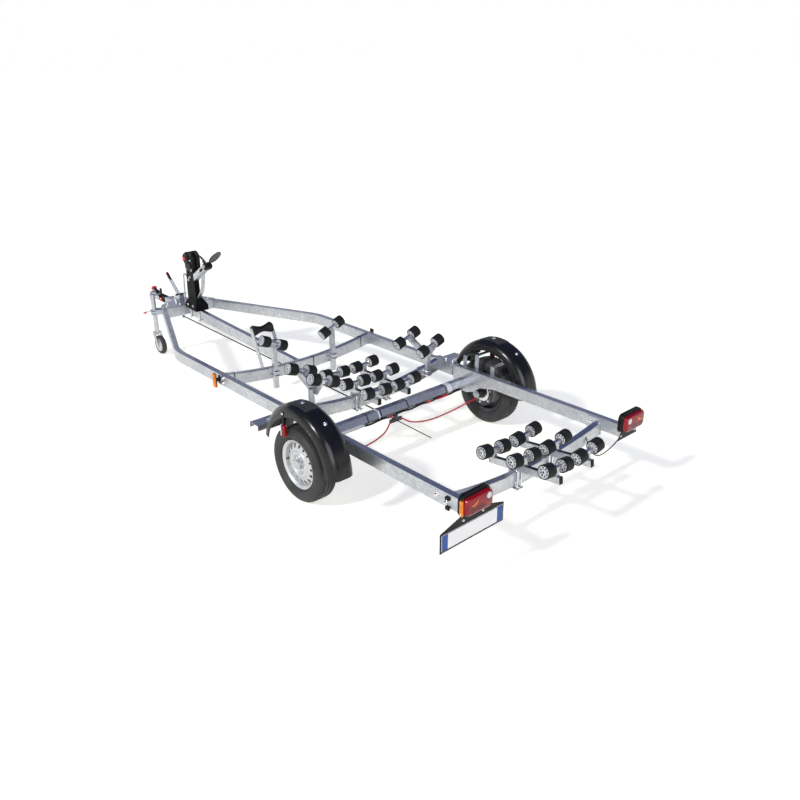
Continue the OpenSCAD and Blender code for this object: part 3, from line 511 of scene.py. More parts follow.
class Finishes:
    """The trailer's finishes."""

    ZINC = Zinc("galvanised_steel", (0.68, 0.695, 0.72), dark=(0.42, 0.44, 0.478), smooth=0.24, rough=0.38)
    BRIGHT = Zinc("bright_zinc_fastener", (0.86, 0.87, 0.88), dark=(0.66, 0.67, 0.7), scale=240.0, smooth=0.18,
                  rough=0.3, metallic=1.0)
    CAST = Zinc("cast_zinc", (0.6, 0.63, 0.68), dark=(0.36, 0.39, 0.44), scale=140.0, smooth=0.4, rough=0.58)
    # Dark iron of the swing arms and brake rod; also the painted shade behind the wheels' vents and inside their
    # rims.
    DRUM = Zinc("brake_drum_iron", (0.09, 0.09, 0.1), dark=(0.04, 0.04, 0.045), scale=120.0, smooth=0.45,
                rough=0.65, metallic=0.5)
    RIM = Zinc("rim_silver_lacquer", (0.66, 0.665, 0.67), dark=(0.58, 0.585, 0.59), scale=900.0, smooth=0.4,
               rough=0.48, metallic=0.45)
    PLATED = Zinc("plated_steel", (0.84, 0.85, 0.86), dark=(0.72, 0.73, 0.75), scale=240.0, smooth=0.28,
                  rough=0.4, metallic=0.15)
    TYRE = Moulded("tyre_rubber", (0.042, 0.0415, 0.042), smooth=0.5, rough=0.68, grain=500.0, relief=0.3,
                   settle=0.1, sheen=0.3)
    ROLLER = Moulded("roller_rubber", (0.01, 0.01, 0.0103), smooth=0.42, rough=0.58, grain=600.0, relief=0.15,
                     settle=0.01, sheen=0.25)
    HUB = Moulded("roller_hub_grey", (0.7, 0.71, 0.72), dust=(0.6, 0.6, 0.6), relief=0.1, sheen=0.5)
    GUARD = Moulded("mudguard_plastic", (0.009, 0.009, 0.0092), smooth=0.24, rough=0.32, grain=700.0,
                    relief=0.05, settle=0.006, coat=0.3, sheen=0.22)
    PAD_SKIN = Moulded("mudguard_tread_pad", (0.03, 0.03, 0.031), smooth=0.6, rough=0.75, grain=160.0,
                       relief=0.8, settle=0.1)
    # Black plastic; also used for the dark slots at the wheels' vents, which are painted shade.
    PLASTIC = Moulded("black_plastic", (0.01, 0.01, 0.0103), smooth=0.34, grain=520.0, relief=0.18, settle=0.01,
                      sheen=0.2)
    BOW = Moulded("bow_pad_rubber", (0.07, 0.07, 0.073), smooth=0.5, rough=0.62, grain=260.0, relief=0.6)
    # Black paint of the winch post; also used for the dark plates at the slots of the bow-stop arm and the winch,
    # which are painted shade.
    POST = Paint("black_post_paint", (0.004, 0.004, 0.0043), rubbed=0.15, sheen=0.06)
    RED = Moulded("red_plastic", (0.62, 0.018, 0.028), smooth=0.24, rough=0.36, relief=0.08, settle=0.0,
                  coat=0.4, sheen=0.5)
    RED_SHEATH = Moulded("red_cable_sheath", (0.55, 0.02, 0.03), rough=0.45, relief=0.1, settle=0.05)
    LENS_RED = Lens("lens_red", (0.36, 0.004, 0.011), deep=(0.12, 0.002, 0.005))
    LENS_DEEP = Lens("lens_deep_red", (0.14, 0.004, 0.008), deep=(0.05, 0.002, 0.003))
    LENS_AMBER = Lens("lens_amber", (0.95, 0.28, 0.01), deep=(0.6, 0.12, 0.004))
    LENS_CLEAR = Lens("lens_clear", (0.82, 0.83, 0.84), deep=(0.45, 0.46, 0.48))
    PLATE = Moulded("plate_white_film", (0.92, 0.92, 0.92), dust=(0.7, 0.7, 0.7), smooth=0.3, rough=0.4,
                    grain=900.0, relief=0.05, vary=0.03, settle=0.0, coat=0.2)
    BAND = Moulded("plate_blue_film", (0.012, 0.07, 0.34), smooth=0.3, rough=0.4, grain=900.0, relief=0.05,
                   vary=0.08, settle=0.0, coat=0.2)


class Shell:
    """Collects the faces of one piece, each with its finish, and makes the object."""

    def __init__(self, name: str) -> None:
        """Starts an empty piece."""
        self.name = name
        self.points: list[Vector] = []
        self.faces: list[list[int]] = []
        self.picks: list[int] = []
        self.finishes: list[Finish] = []

    def add(self, points: Sequence[Sequence[float]], faces: Sequence[Sequence[int]], finish: Finish,
            place: Matrix) -> None:
        """Adds points and faces.

        Args:
            points: Places in the local frame.
            faces: Each face as numbers of its points.
            finish: What the faces look like.
            place: Puts the local frame in the trailer's.
        """
        base = len(self.points)
        self.points.extend(place @ Vector(p) for p in points)
        if finish not in self.finishes:
            self.finishes.append(finish)
        self.faces.extend([base + k for k in face] for face in faces)
        self.picks.extend([self.finishes.index(finish)] * len(faces))

    def lathe(self, outline: Outline | Callable[[int], Outline], place: Matrix, finish: Finish,
              segments: int = 48, closed: bool = False, start: float = 0.0, sweep: float = 360.0) -> None:
        """Turns an outline of radius and height about the local Z axis.

        Args:
            outline: The outline, or a function that gives it for each step round.
            place: Puts the local frame in the trailer's.
            finish: What the faces look like.
            segments: Steps round the axis.
            closed: Whether the outline's end joins its start.
            start: First angle in degrees.
            sweep: Angle turned through in degrees.
        """
        full = sweep >= 360
        count = segments if full else segments + 1
        rings = [outline(k) if callable(outline) else outline for k in range(count)]
        points = []
        for k, ring in enumerate(rings):
            a = math.radians(start + sweep * k / segments)
            points += [(r * math.cos(a), r * math.sin(a), h) for r, h in ring]
        n = len(rings[0])
        faces = []
        for k in range(segments):
            after = (k + 1) % count
            for j in range(n if closed else n - 1):
                faces.append([k * n + j, after * n + j, after * n + (j + 1) % n, k * n + (j + 1) % n])
        if not full and closed:
            faces += [list(range(n)), [segments * n + j for j in reversed(range(n))]]
        self.add(points, faces, finish, place)

    def loft(self, rings: Sequence[Sequence[Sequence[float]]], finish: Finish, place: Matrix,
             caps: bool = True) -> None:
        """Joins closed rings of equal count with faces, and closes the two ends if asked."""
        n = len(rings[0])
        points = [p for ring in rings for p in ring]
        faces = [[k * n + j, k * n + (j + 1) % n, (k + 1) * n + (j + 1) % n, (k + 1) * n + j]
                 for k in range(len(rings) - 1) for j in range(n)]
        if caps:
            faces += [list(reversed(range(n))), [(len(rings) - 1) * n + j for j in range(n)]]
        self.add(points, faces, finish, place)

    def stepped(self, outline: Outline, steps: Steps, finish: Finish, place: Matrix) -> None:
        """Draws an outline out along the local Z axis in steps.

        Args:
            outline: Closed outline, anticlockwise.
            steps: Height of each step and how far the outline is drawn in there.
            finish: What the faces look like.
            place: Puts the local frame in the trailer's.
        """
        self.loft([[(u, v, z) for u, v in inset(outline, by)] for z, by in steps], finish, place)

    def prism(self, outline: Outline, depth: float, place: Matrix, finish: Finish, chamfer: float = 0.0) -> None:
        """Draws an outline out along the local Z axis, with its edges taken off.

        Args:
            outline: Closed outline, anticlockwise.
            depth: Length along Z.
            place: Puts the local frame in the trailer's.
            finish: What the faces look like.
            chamfer: Size of the bevel at both ends.
        """
        ends = [(0.0, 0.0), (depth, 0.0)]
        bevelled = [(0.0, chamfer), (chamfer, 0.0), (depth - chamfer, 0.0), (depth, chamfer)]
        self.stepped(outline, bevelled if chamfer else ends, finish, place)

    def band(self, outer: Outline, thickness: float, depth: float, place: Matrix, finish: Finish) -> None:
        """Makes a strap that follows an outline, as a ring of the given thickness and depth."""
        inner = inset(outer, thickness)
        walk = ((outer, 0.0), (outer, depth), (inner, depth), (inner, 0.0), (outer, 0.0))
        self.loft([[(u, v, z) for u, v in ring] for ring, z in walk], finish, place, caps=False)

    def tube(self, path: Sequence[Vector], radius: float, finish: Finish, sides: int = 12) -> None:
        """Makes a round bar along a path of points."""
        rings = []
        side = None
        for k, here in enumerate(path):
            ahead = (path[min(k + 1, len(path) - 1)] - path[max(k - 1, 0)]).normalized()
            side = ahead.orthogonal() if side is None else side - ahead * side.dot(ahead)
            side.normalize()
            over = ahead.cross(side)
            turns = [2 * math.pi / sides * j for j in range(sides)]
            rings.append([here + radius * (math.cos(a) * side + math.sin(a) * over) for a in turns])
        self.loft(rings, finish, Matrix.Identity(4))

    def bolt(self, at: Vector, axis: Vector, across: float, finish: Finish = Finishes.BRIGHT) -> None:
        """Adds a hexagon head on its washer.

        Args:
            at: Point on the face that the washer lies on.
            axis: Direction out of the face.
            across: Size across the flats.
            finish: What it looks like.
        """
        place = axes(at, axis)
        disc, thick = across * 0.92, across * 0.14
        washer = [(0, 0), (disc, 0), (disc, thick * 0.6), (disc * 0.93, thick), (0, thick)]
        self.lathe(washer, place, finish, 20)
        self.prism(hexagon(across / math.sqrt(3)), across * 0.6, moved(place, 0, 0, thick), finish, across * 0.07)

    def build(self, body: str, slot: str, replaces: Sequence[str] = (), sharp: float = 38.0) -> None:
        """Makes the object and tells the frame what it rides on.

        Args:
            body: The body that carries the piece.
            slot: Not used; the name of a material slot in the record.
            replaces: Nodes that the piece stands for.
            sharp: Angle in degrees past which an edge stays sharp.
        """
        mesh = bpy.data.meshes.new(self.name)
        mesh.from_pydata(self.points, [], self.faces)
        mesh.polygons.foreach_set("material_index", self.picks)
        for finish in self.finishes:
            mesh.materials.append(finish.material())
        work = bmesh.new()
        work.from_mesh(mesh)
        bmesh.ops.remove_doubles(work, verts=work.verts, dist=1e-6)
        bmesh.ops.dissolve_degenerate(work, edges=work.edges, dist=1e-7)
        bmesh.ops.recalc_face_normals(work, faces=work.faces)
        work.to_mesh(mesh)
        work.free()
        mesh.polygons.foreach_set("use_smooth", [True] * len(mesh.polygons))
        mesh.set_sharp_from_angle(angle=math.radians(sharp))
        made = bpy.data.objects.new(self.name, mesh)
        bpy.context.scene.collection.objects.link(made)
        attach(made, body)
        if replaces:
            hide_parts(*replaces)
        LOG.info("%s: %d faces on %s", self.name, len(mesh.polygons), body)


def middle(node: str) -> Vector:
    """Centre of a node's box."""
    low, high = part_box(node)
    return (low + high) / 2


@dataclass(frozen=True)
class Lamp:
    """One sun of the studio: name, direction toward it, spread in degrees and strength."""

    name: str
    toward: Place
    spread: float
    strength: float


@dataclass
class Studio:
    """Pale floor, soft light and the camera of the photograph."""

    datum: Datum
    eye: Place = (-4.0255, 3.69396, 2.85346)
    forward: Place = (0.680306, -0.614046, -0.400165)
    across: Place = (-0.672193, -0.740345, -0.006724)
    lens: float = 34.994
    sensor: float = 36.0
    far: float = 1000.0
    floor_half: float = 250.0
    floor_colour: Colour = (0.93, 0.895, 0.71)
    floor_lift: float = 0.55
    sky_heights: tuple[float, float] = (0.16, 0.42)
    sky_low: Colour = (1, 1, 1)
    sky_high: Colour = (0.035, 0.06, 0.2)
    lamps: tuple[Lamp, ...] = (Lamp("key", (0.1, 0.78, 0.61), 5.0, 1.7),
                               Lamp("rear_fill", (-0.8, 0.35, 0.4), 40.0, 1.5))

    def camera(self) -> None:
        """Makes the camera at the photograph's view."""
        data = bpy.data.cameras.new("camera")
        data.lens, data.sensor_width = self.lens, self.sensor
        data.clip_end = self.far
        made = bpy.data.objects.new("camera", data)
        right, back = Vector(self.across).normalized(), -Vector(self.forward).normalized()
        turn = Matrix((right, back.cross(right), back)).transposed().to_4x4()
        made.matrix_world = Matrix.Translation(self.datum.at(*self.eye)) @ turn
        bpy.context.scene.collection.objects.link(made)
        bpy.context.scene.camera = made

    def floor(self) -> None:
        """Makes the floor, white to the camera except for shadow."""
        mesh = bpy.data.meshes.new("floor")
        h = self.floor_half
        mesh.from_pydata([(-h, -h, 0), (h, -h, 0), (h, h, 0), (-h, h, 0)], [], [(0, 1, 2, 3)])
        made = bpy.data.objects.new("floor", mesh)
        bpy.context.scene.collection.objects.link(made)
        look = bpy.data.materials.new("studio_floor")
        look.use_nodes = True
        graph = Graph(look.node_tree)
        path = graph.node("ShaderNodeLightPath")
        seen = path.outputs["Is Camera Ray"]
        for ray in ("Is Glossy Ray", "Is Transmission Ray"):
            seen = graph.calc("MAXIMUM", seen, path.outputs[ray])
        graph.fill(look.node_tree.nodes["Principled BSDF"], {
            "Base Color": rgba(self.floor_colour), "Roughness": 0.9, "Specular IOR Level": 0.1,
            "Emission Color": (1, 1, 1, 1), "Emission Strength": graph.calc("MULTIPLY", seen, self.floor_lift)})
        mesh.materials.append(look)

    def light(self) -> None:
        """Lights the trailer with a sky of soft tone and large lamps."""
        world = bpy.data.worlds.new("studio_sky")
        bpy.context.scene.world = world
        world.use_nodes = True
        graph = Graph(world.node_tree)
        height = graph.node("ShaderNodeSeparateXYZ", {0: graph.place("Generated")}).outputs["Z"]
        rise = graph.ramp(height, *self.sky_heights, interpolation_type="SMOOTHSTEP")
        tone = graph.mix(rise, rgba(self.sky_low), rgba(self.sky_high))
        graph.fill(world.node_tree.nodes["Background"], {"Color": tone, "Strength": 1.0})
        for lamp in self.lamps:
            data = bpy.data.lights.new(lamp.name, "SUN")
            data.angle, data.energy = math.radians(lamp.spread), lamp.strength
            made = bpy.data.objects.new(lamp.name, data)
            made.matrix_world = axes(self.datum.at(0, 0, 5), Vector(lamp.toward))
            bpy.context.scene.collection.objects.link(made)

    def build(self) -> None:
        """Makes camera, floor and light."""
        self.camera()
        self.floor()
        self.light()
        bpy.context.scene.view_settings.view_transform = "Standard"
        LOG.info("studio ready")


@dataclass
class FrameLooks:
    """Finishes of the nodes that are shown as they were drawn."""

    by_finish: dict[Finish, tuple[str, ...]] = field(default_factory=lambda: {
        Finishes.ZINC: (
            "side_rail_left", "side_rail_right", "drawbar", "front_beam", "cross_front", "cross_main", "cross_rear",
            "axle_tube", "mudguard_stays", "bow_stop_arm", "keel_bracket", "roller_posts", "cradles",
            "cradle_brackets", "coupling_head", "jockey_tube", "jockey_fork"),
        Finishes.CAST: ("overrun_housing", "jockey_clamp"),
        Finishes.DRUM: ("swing_arms", "brake_rod"),
        Finishes.RIM: ("rim_left", "rim_right"),
        Finishes.PLASTIC: ("plate_holder", "lamp_lead"),
        Finishes.POST: ("winch_post",),
        Finishes.ROLLER: ("overrun_bellows",),
        Finishes.RED_SHEATH: ("brake_cables",),
    })

    def dress(self, nodes: dict[str, bpy.types.Object]) -> None:
        """Gives each node its finish, and black plastic to those that a piece replaces."""
        finish_of = {name: finish for finish, names in self.by_finish.items() for name in names}
        for name, made in nodes.items():
            made.data.materials.clear()
            made.data.materials.append(finish_of.get(name, Finishes.PLASTIC).material())
        LOG.info("%d nodes dressed", len(nodes))


@dataclass
class Wheel:
    """One road wheel: tyre with grooved tread, vents drawn as dark slots that paint the holes' shade, pressed ridge,
    wheel bolts and valve.
    """

    side: Side
    tread_blocks: int = 60
    block_gap: float = 0.0045
    bolt_count: int = 5
    bolt_ring: float = 0.048
    bolt_size: float = 0.017
    disc_face: float = 0.036
    vents: int = 16
    vent_from: float = 0.119
    vent_length: float = 0.031
    vent_half: float = 0.0078
    vent_depth: float = 0.004

    def place(self) -> Matrix:
        """Puts the local Z axis on the wheel's axis, pointing outward."""
        return axes(middle(f"tyre_{self.side.word}"), self.side.out)

    def tyre_outline(self, step: int) -> Outline:
        """Closed section of the tyre at one step round.

        Args:
            step: Number of the step; each third one lies in a gap between shoulder blocks.

        Returns:
            Radius and height of the section's points.
        """
        cut = self.block_gap if step % 3 == 0 else 0.0
        bead = [(0.168, 0.046), (0.180, 0.053), (0.1835, 0.060), (0.189, 0.067), (0.1925, 0.0715),
                (0.1945, 0.0715), (0.1962, 0.0695)]
        wall = [(0.203, 0.0765), (0.214, 0.0822), (0.226, 0.0858), (0.238, 0.0864), (0.2405, 0.0852),
                (0.243, 0.0858), (0.252, 0.0832), (0.262, 0.0778)]
        blocks = [(0.270 - cut / 2, 0.0712), (0.2758 - cut, 0.064), (0.2785 - cut, 0.057), (0.2797 - cut, 0.046)]
        tread = [(0.2800, 0.0365), (0.2735, 0.0350), (0.2735, 0.0290), (0.2803, 0.0275), (0.2806, 0.0045),
                 (0.2740, 0.0032)]
        return both(bead + wall + blocks + tread)

    def pressings(self, shell: Shell, place: Matrix) -> None:
        """Adds dark slots at the disc's vents as painted shade of the holes, the ridge round the bolts, and a dark
        lining painted as shade on the rim's inside.
        """
        # Each vent is a dark slot in black plastic laid over the hole: painted shade of the hole's inside.
        rings = []
        for j in range(11):
            r = self.vent_from + self.vent_length * j / 10
            half = 0.0006 + self.vent_half * math.sqrt(max(0.0, 1 - (j / 5 - 1) ** 2))
            top = 0.0406 + (0.128 - r) * (8 / 28 if r < 0.128 else 0.5)
            low = top - self.vent_depth
            rings.append([(r, -half, top), (r, half, top), (r, half, low), (r, -half, low)])
        for k in range(self.vents):
            shell.loft(rings, Finishes.PLASTIC, spun(place, 360 * k / self.vents))
        ridge = [(0.072, 0.046), (0.0765, 0.0525), (0.082, 0.0555), (0.092, 0.0555), (0.0975, 0.0525), (0.102, 0.046)]
        shell.lathe(ridge, place, Finishes.RIM, 64, closed=True)
        # Thin dark lining just inside the rim's barrel and flange: painted shade of the rim's inside.
        painted_shade_lining = [(0.1815, -0.057), (0.1815, -0.0626), (0.1743, -0.0628), (0.1592, -0.0502), (0.1592, 0.01),
                  (0.1598, 0.01), (0.1598, -0.0499), (0.1747, -0.0622), (0.181, -0.0621), (0.181, -0.057)]
        shell.lathe(painted_shade_lining, place, Finishes.DRUM, 64, closed=True)

    def build(self) -> None:
        """Makes the tyre and the fittings on the rim, with the dark pieces that paint shade behind the vents and
        inside the rim.
        """
        place = self.place()
        tyre = Shell(f"tyre_{self.side.word}_grooved")
        tyre.lathe(self.tyre_outline, place, Finishes.TYRE, 3 * self.tread_blocks, closed=True)
        tyre.build(f"wheel_{self.side.word}", "tyre_rubber", [f"tyre_{self.side.word}"], sharp=32)
        trim = Shell(f"rim_{self.side.word}_fittings")
        for x, y in arc(0, 0, self.bolt_ring, 0, 360, self.bolt_count)[:-1]:
            trim.bolt(place @ Vector((x, y, self.disc_face)), place.to_3x3() @ UP, self.bolt_size)
        cap = [(0.0, 0.0732), (0.012, 0.0728), (0.024, 0.0712), (0.031, 0.0688), (0.0345, 0.064), (0.0352, 0.05),
               (0.0345, 0.046)]
        trim.lathe(cap, place, Finishes.ZINC, 40)
        # Dark ring behind the disc, seen through the vents: painted shade.
        shade = [(0.119, 0.004), (0.119, 0.008), (0.1585, 0.008), (0.1585, 0.004)]
        trim.lathe(shade, place, Finishes.DRUM, 48, closed=True)
        self.pressings(trim, place)
        valve = [(0, 0), (0.0055, 0), (0.005, 0.02), (0.0036, 0.022), (0.0036, 0.034), (0, 0.035)]
        trim.lathe(valve, moved(place, 0.152, 0.016, 0.018), Finishes.PLASTIC, 16)
        trim.build(f"wheel_{self.side.word}", "rim_silver")


@dataclass
class Mudguard:
    """One mudguard with its tread pad, edge bead and bolts."""

    side: Side
    datum: Datum
    centre: Place = (-0.045, 0.968, 0.325)
    radius: float = 0.415
    width: float = 0.205
    depth: float = 0.078
    shoulder: float = 0.07
    thickness: float = 0.005
    bead: float = 0.0045
    start: float = 15.0
    end: float = 179.0
    pad_angles: tuple[float, float] = (73.0, 103.0)
    pad_width: float = 0.112
    bolt_angles: tuple[float, ...] = (87.0, 123.0)

    def place(self) -> Matrix:
        """Puts local X forward and local Y up, so that angles run from the front over the top."""
        return axes(self.datum.beside(self.side, *self.centre), -LEFT)

    def section(self) -> Outline:
        """Closed section of the guard, as radius and height."""
        edge, half, s = self.radius - self.depth, self.width / 2, self.shoulder
        walls: list[Outline] = []
        for by in (0.0, self.thickness):
            curve = arc(half - s, self.radius - s, s - by, 0, 90, 14)
            walls.append([(edge, half - by), *((r, h) for h, r in curve)])
        outer, inner = walls
        return both(outer) + [(r, -h) for r, h in inner] + inner[::-1]

    def build(self) -> None:
        """Makes the guard, its pad and its bolts."""
        place, sweep = self.place(), self.end - self.start
        shell = Shell(f"mudguard_{self.side.word}_moulded")
        shell.lathe(self.section(), place, Finishes.GUARD, 72, closed=True, start=self.start, sweep=sweep)
        edge, b = self.radius - self.depth, self.bead
        turns = [2 * math.pi * k / 10 for k in range(10)]
        for s in (1, -1):
            h = s * (self.width / 2 - self.thickness / 2)
            bead = [(edge + b * math.sin(a), h + b * math.cos(a)) for a in turns]
            shell.lathe(bead, place, Finishes.GUARD, 72, closed=True, start=self.start, sweep=sweep)
        r, half = self.radius, self.pad_width / 2
        pad = both([(r - 0.003, half), (r + 0.001, half - 0.001), (r + 0.0024, half - 0.006)])
        first, last = self.pad_angles
        shell.lathe(pad, place, Finishes.PAD_SKIN, 24, closed=True, start=first, sweep=last - first)
        for angle in self.bolt_angles:
            out = Vector((math.cos(math.radians(angle)), math.sin(math.radians(angle)), 0))
            lift = 0.0022 if first < angle < last else -0.0004
            shell.bolt(place @ (out * (self.radius + lift)), place.to_3x3() @ out, 0.017)
        shell.build("frame", "black_plastic", self.side.once("mudguards"))


@dataclass
class RollerPair:
    """Two spoked rollers on one shaft."""

    node: str
    centre: Vector
    axis: Vector
    radius: float = 0.0475
    width: float = 0.078
    gap: float = 0.176
    spokes: int = 8
    shaft: float = 0.009
    grooves: tuple[float, ...] = (-0.022, -0.011, 0.0, 0.011, 0.022)
    recess: float = 0.017

    def rubber(self) -> Outline:
        """Closed section of the rubber ring with shallow grooves."""
        r, h = self.radius, self.width / 2
        end = [(r - 0.0085, h - 0.0015), (r - 0.005, h), (r - 0.0018, h - 0.0012), (r - 0.0003, h - 0.0045)]
        out = [(x, -y) for x, y in end]
        for g in self.grooves:
            out += [(r, g - 0.0017), (r - 0.001, g - 0.0006), (r - 0.001, g + 0.0006), (r, g + 0.0017)]
        return out + end[::-1]

    def roller(self, shell: Shell, place: Matrix) -> None:
        """Adds one roller: rubber ring, hub rims, spokes, bosses and pin heads."""
        r, h = self.radius, self.width / 2
        shell.lathe(self.rubber(), place, Finishes.ROLLER, 44, closed=True)
        rim = [(r - 0.0125, h - 0.02), (r - 0.0125, h - 0.002), (r - 0.0088, h - 0.0018), (r - 0.0084, h - 0.02)]
        web = [(0.0, h - self.recess), (r - 0.012, h - self.recess)]
        boss = [(0.0135, h - 0.018), (0.0135, h - 0.002), (0.012, h - 0.0008), (0.0075, h - 0.0008)]
        pin = [(0.0075, h - 0.0008), (0.0072, h - 0.004), (0.0, h - 0.004)]
        spoke = rounded(0.0252, 0.0046, 0.0012, 2)
        for face in faces_of(place):
            shell.lathe(rim, face, Finishes.HUB, 40)
            shell.lathe(web, face, Finishes.ROLLER, 32)
            shell.lathe(boss, face, Finishes.HUB, 28)
            shell.lathe(pin, face, Finishes.PLASTIC, 20)
            for k in range(self.spokes):
                at = moved(spun(face, 360 * k / self.spokes), 0.024, 0, h - self.recess)
                shell.prism(spoke, 0.0148, at, Finishes.HUB, 0.0012)

    def build(self) -> None:
        """Makes the pair on its shaft."""
        place = axes(self.centre, self.axis)
        shell = Shell(f"{self.node}_spoked")
        for s in (1, -1):
            self.roller(shell, moved(place, 0, 0, s * self.gap / 2))
        free = self.gap / 2 - self.width / 2
        shell.lathe([(self.shaft, -free - 0.022), (self.shaft, free + 0.022)], place, Finishes.BRIGHT, 24)
        end = free - 0.001
        collar = [(self.shaft, end - 0.006), (0.0145, end - 0.006), (0.0155, end - 0.005), (0.0155, end - 0.001),
                  (0.0145, end), (self.shaft, end)]
        for face in faces_of(place):
            shell.lathe(collar, face, Finishes.BRIGHT, 28)
        shell.build(f"{self.node}_body", "roller_rubber", [self.node])


@dataclass
class KeelRoller:
    """Hourglass roller on the leaning bars."""

    length: float = 0.2
    end_radius: float = 0.05
    waist: float = 0.028
    bore: float = 0.0096
    rib: float = 0.0007

    def build(self) -> None:
        """Makes the roller with rounded rims and shallow ribs."""
        half, end = self.length / 2, self.end_radius
        right: Outline = []
        for k in range(33):
            u = k / 32
            swell = self.waist + (end - self.waist) * u ** 1.6
            right.append((min(end, swell) - self.rib * (k % 4 == 0), u * (half - 0.016)))
        right += [(end, half - 0.012), (end, half - 0.006), (end - 0.002, half - 0.0015), (end - 0.006, half),
                  (0.03, half), (0.028, half - 0.006), (0.018, half - 0.006), (0.017, half - 0.001),
                  (self.bore, half - 0.001)]
        outline = [(r, -h) for r, h in reversed(right)] + right[1:]
        shell = Shell("keel_roller_ribbed")
        shell.lathe(outline, axes(middle("keel_roller"), LEFT), Finishes.ROLLER, 56, closed=True)
        shell.build("keel_roll", "roller_rubber", ["keel_roller"])


@dataclass
class TailLamps:
    """Both tail lamps: ribbed housings, lenses in three colours and side markers."""

    datum: Datum
    y: float = 0.797
    z: float = 0.541
    x: float = -1.425
    width: float = 0.24
    height: float = 0.14
    depth: float = 0.041
    lens_depth: float = 0.03
    dark_fields: tuple[tuple[float, float, float, float], ...] = (
        (-0.026, -0.004, 0.034, 0.086), (-0.024, 0.062, 0.042, 0.042), (0.002, -0.07, 0.03, 0.03))

    def housing(self, side: Side) -> None:
        """Makes one housing with a ribbed top and a side marker lens."""
        shell = Shell(f"lamp_housing_{side.word}")
        place = axes(self.datum.beside(side, self.x, self.y, self.z), -FORE, UP)
        steps = [(0.0, 0.003), (0.003, 0.0), (0.011, 0.0), (0.0125, 0.005), (0.019, 0.005), (0.0205, 0.0005),
                 (0.032, 0.0005), (0.0335, 0.004), (self.depth, 0.005)]
        shell.stepped(rounded(self.height, self.width, 0.034, 8), steps, Finishes.PLASTIC, place)
        outer = self.y + self.width / 2 - 0.006
        marker = axes(self.datum.beside(side, self.x - 0.034, outer, self.z - 0.004), side.out, UP)
        shell.prism(rounded(0.1, 0.026, 0.006, 4), 0.014, marker, Finishes.LENS_AMBER, 0.003)
        for dz in (0.036, -0.036):
            spot = moved(marker, dz, 0, 0.0135)
            shell.lathe([(0.0, 0.0012), (0.0034, 0.001), (0.0045, 0.0)], spot, Finishes.BRIGHT, 14)
        shell.build("frame", "black_plastic", side.once("lamp_housings"))

    @staticmethod
    def crescent(side: Side) -> Outline:
        """Outline of the amber field, which opens outward."""
        out: Outline = []
        for inner in (False, True):
            for k in range(17):
                share = (16 - k) / 16 if inner else k / 16
                a = math.radians(142 + 122 * share)
                r = 0.036 - (0.0135 * math.sin(math.pi * min(1.0, 0.08 + 0.84 * share)) if inner else 0.0)
                out.append((0.036 + r * math.cos(a), side.value * (0.054 + r * math.sin(a))))
        return out if side is Side.LEFT else out[::-1]

    def lens(self, side: Side) -> None:
        """Makes one lens: red field with darker ovals, amber crescent and clear disc."""
        shell = Shell(f"lamp_lens_{side.word}")
        place = axes(self.datum.beside(side, self.x - self.depth, self.y, self.z), -FORE, UP)
        full = rounded(self.height - 0.024, self.width - 0.014, 0.032, 8)
        steps = [(0.0, 0.0), (0.018, 0.0005), (0.024, 0.004), (self.lens_depth - 0.003, 0.011),
                 (self.lens_depth - 0.0012, 0.02)]
        shell.stepped(full, steps, Finishes.LENS_RED, place)
        face = moved(place, 0, 0, self.lens_depth - 0.003)
        out = side.value
        for du, dv, high, wide in self.dark_fields:
            shell.prism(oval(high, wide, 36), 0.0024, moved(face, du, out * dv, 0), Finishes.LENS_DEEP, 0.001)
        shell.prism(self.crescent(side), 0.0028, face, Finishes.LENS_AMBER, 0.0005)
        shell.prism(oval(0.042, 0.042, 36), 0.0028, moved(face, 0.024, -out * 0.074, 0), Finishes.LENS_CLEAR, 0.001)
        for du, dv in ((0.042, 0.0), (-0.044, 0.03)):
            spot = moved(face, du, out * dv, 0.0004)
            shell.lathe([(0.0, 0.001), (0.003, 0.0008), (0.004, 0.0)], spot, Finishes.LENS_RED, 14)
        shell.build("frame", "red_lens", side.once("lamp_lenses"))

    def build(self) -> None:
        """Makes both lamps."""
        for side in Side:
            self.housing(side)
            self.lens(side)


@dataclass
class NumberPlate:
    """Blank long plate with plain blue ends and a raised border."""

    width: float = 0.52
    height: float = 0.11
    border: float = 0.004
    band_width: float = 0.044
    rivet_y: float = 0.19

    def build(self) -> None:
        """Makes the plate on its board."""
        low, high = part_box("number_plate")
        centre = (low + high) / 2
        place = axes(Vector((high.x, centre.y, centre.z)), -FORE, UP)
        shell = Shell("number_plate_blank")
        shell.prism(rounded(self.height, self.width, 0.008), 0.0022, place, Finishes.PLATE, 0.0006)
        face = moved(place, 0, 0, 0.0021)
        border = rounded(self.height - self.border, self.width - self.border, 0.007)
        shell.band(border, 0.0026, 0.0009, face, Finishes.PLASTIC)
        band = rounded(self.height - 0.01, self.band_width, 0.003, 3)
        for s in (1, -1):
            shell.prism(band, 0.0006, moved(face, 0, s * (self.width / 2 - 0.028), 0), Finishes.BAND)
        for s in (1, -1):
            rivet = moved(face, 0.0, s * self.rivet_y, 0.0002)
            shell.lathe([(0.0, 0.0008), (0.003, 0.0007), (0.0042, 0.0)], rivet, Finishes.PLATE, 16)
        shell.build("frame", "white_plate", ["number_plate"])


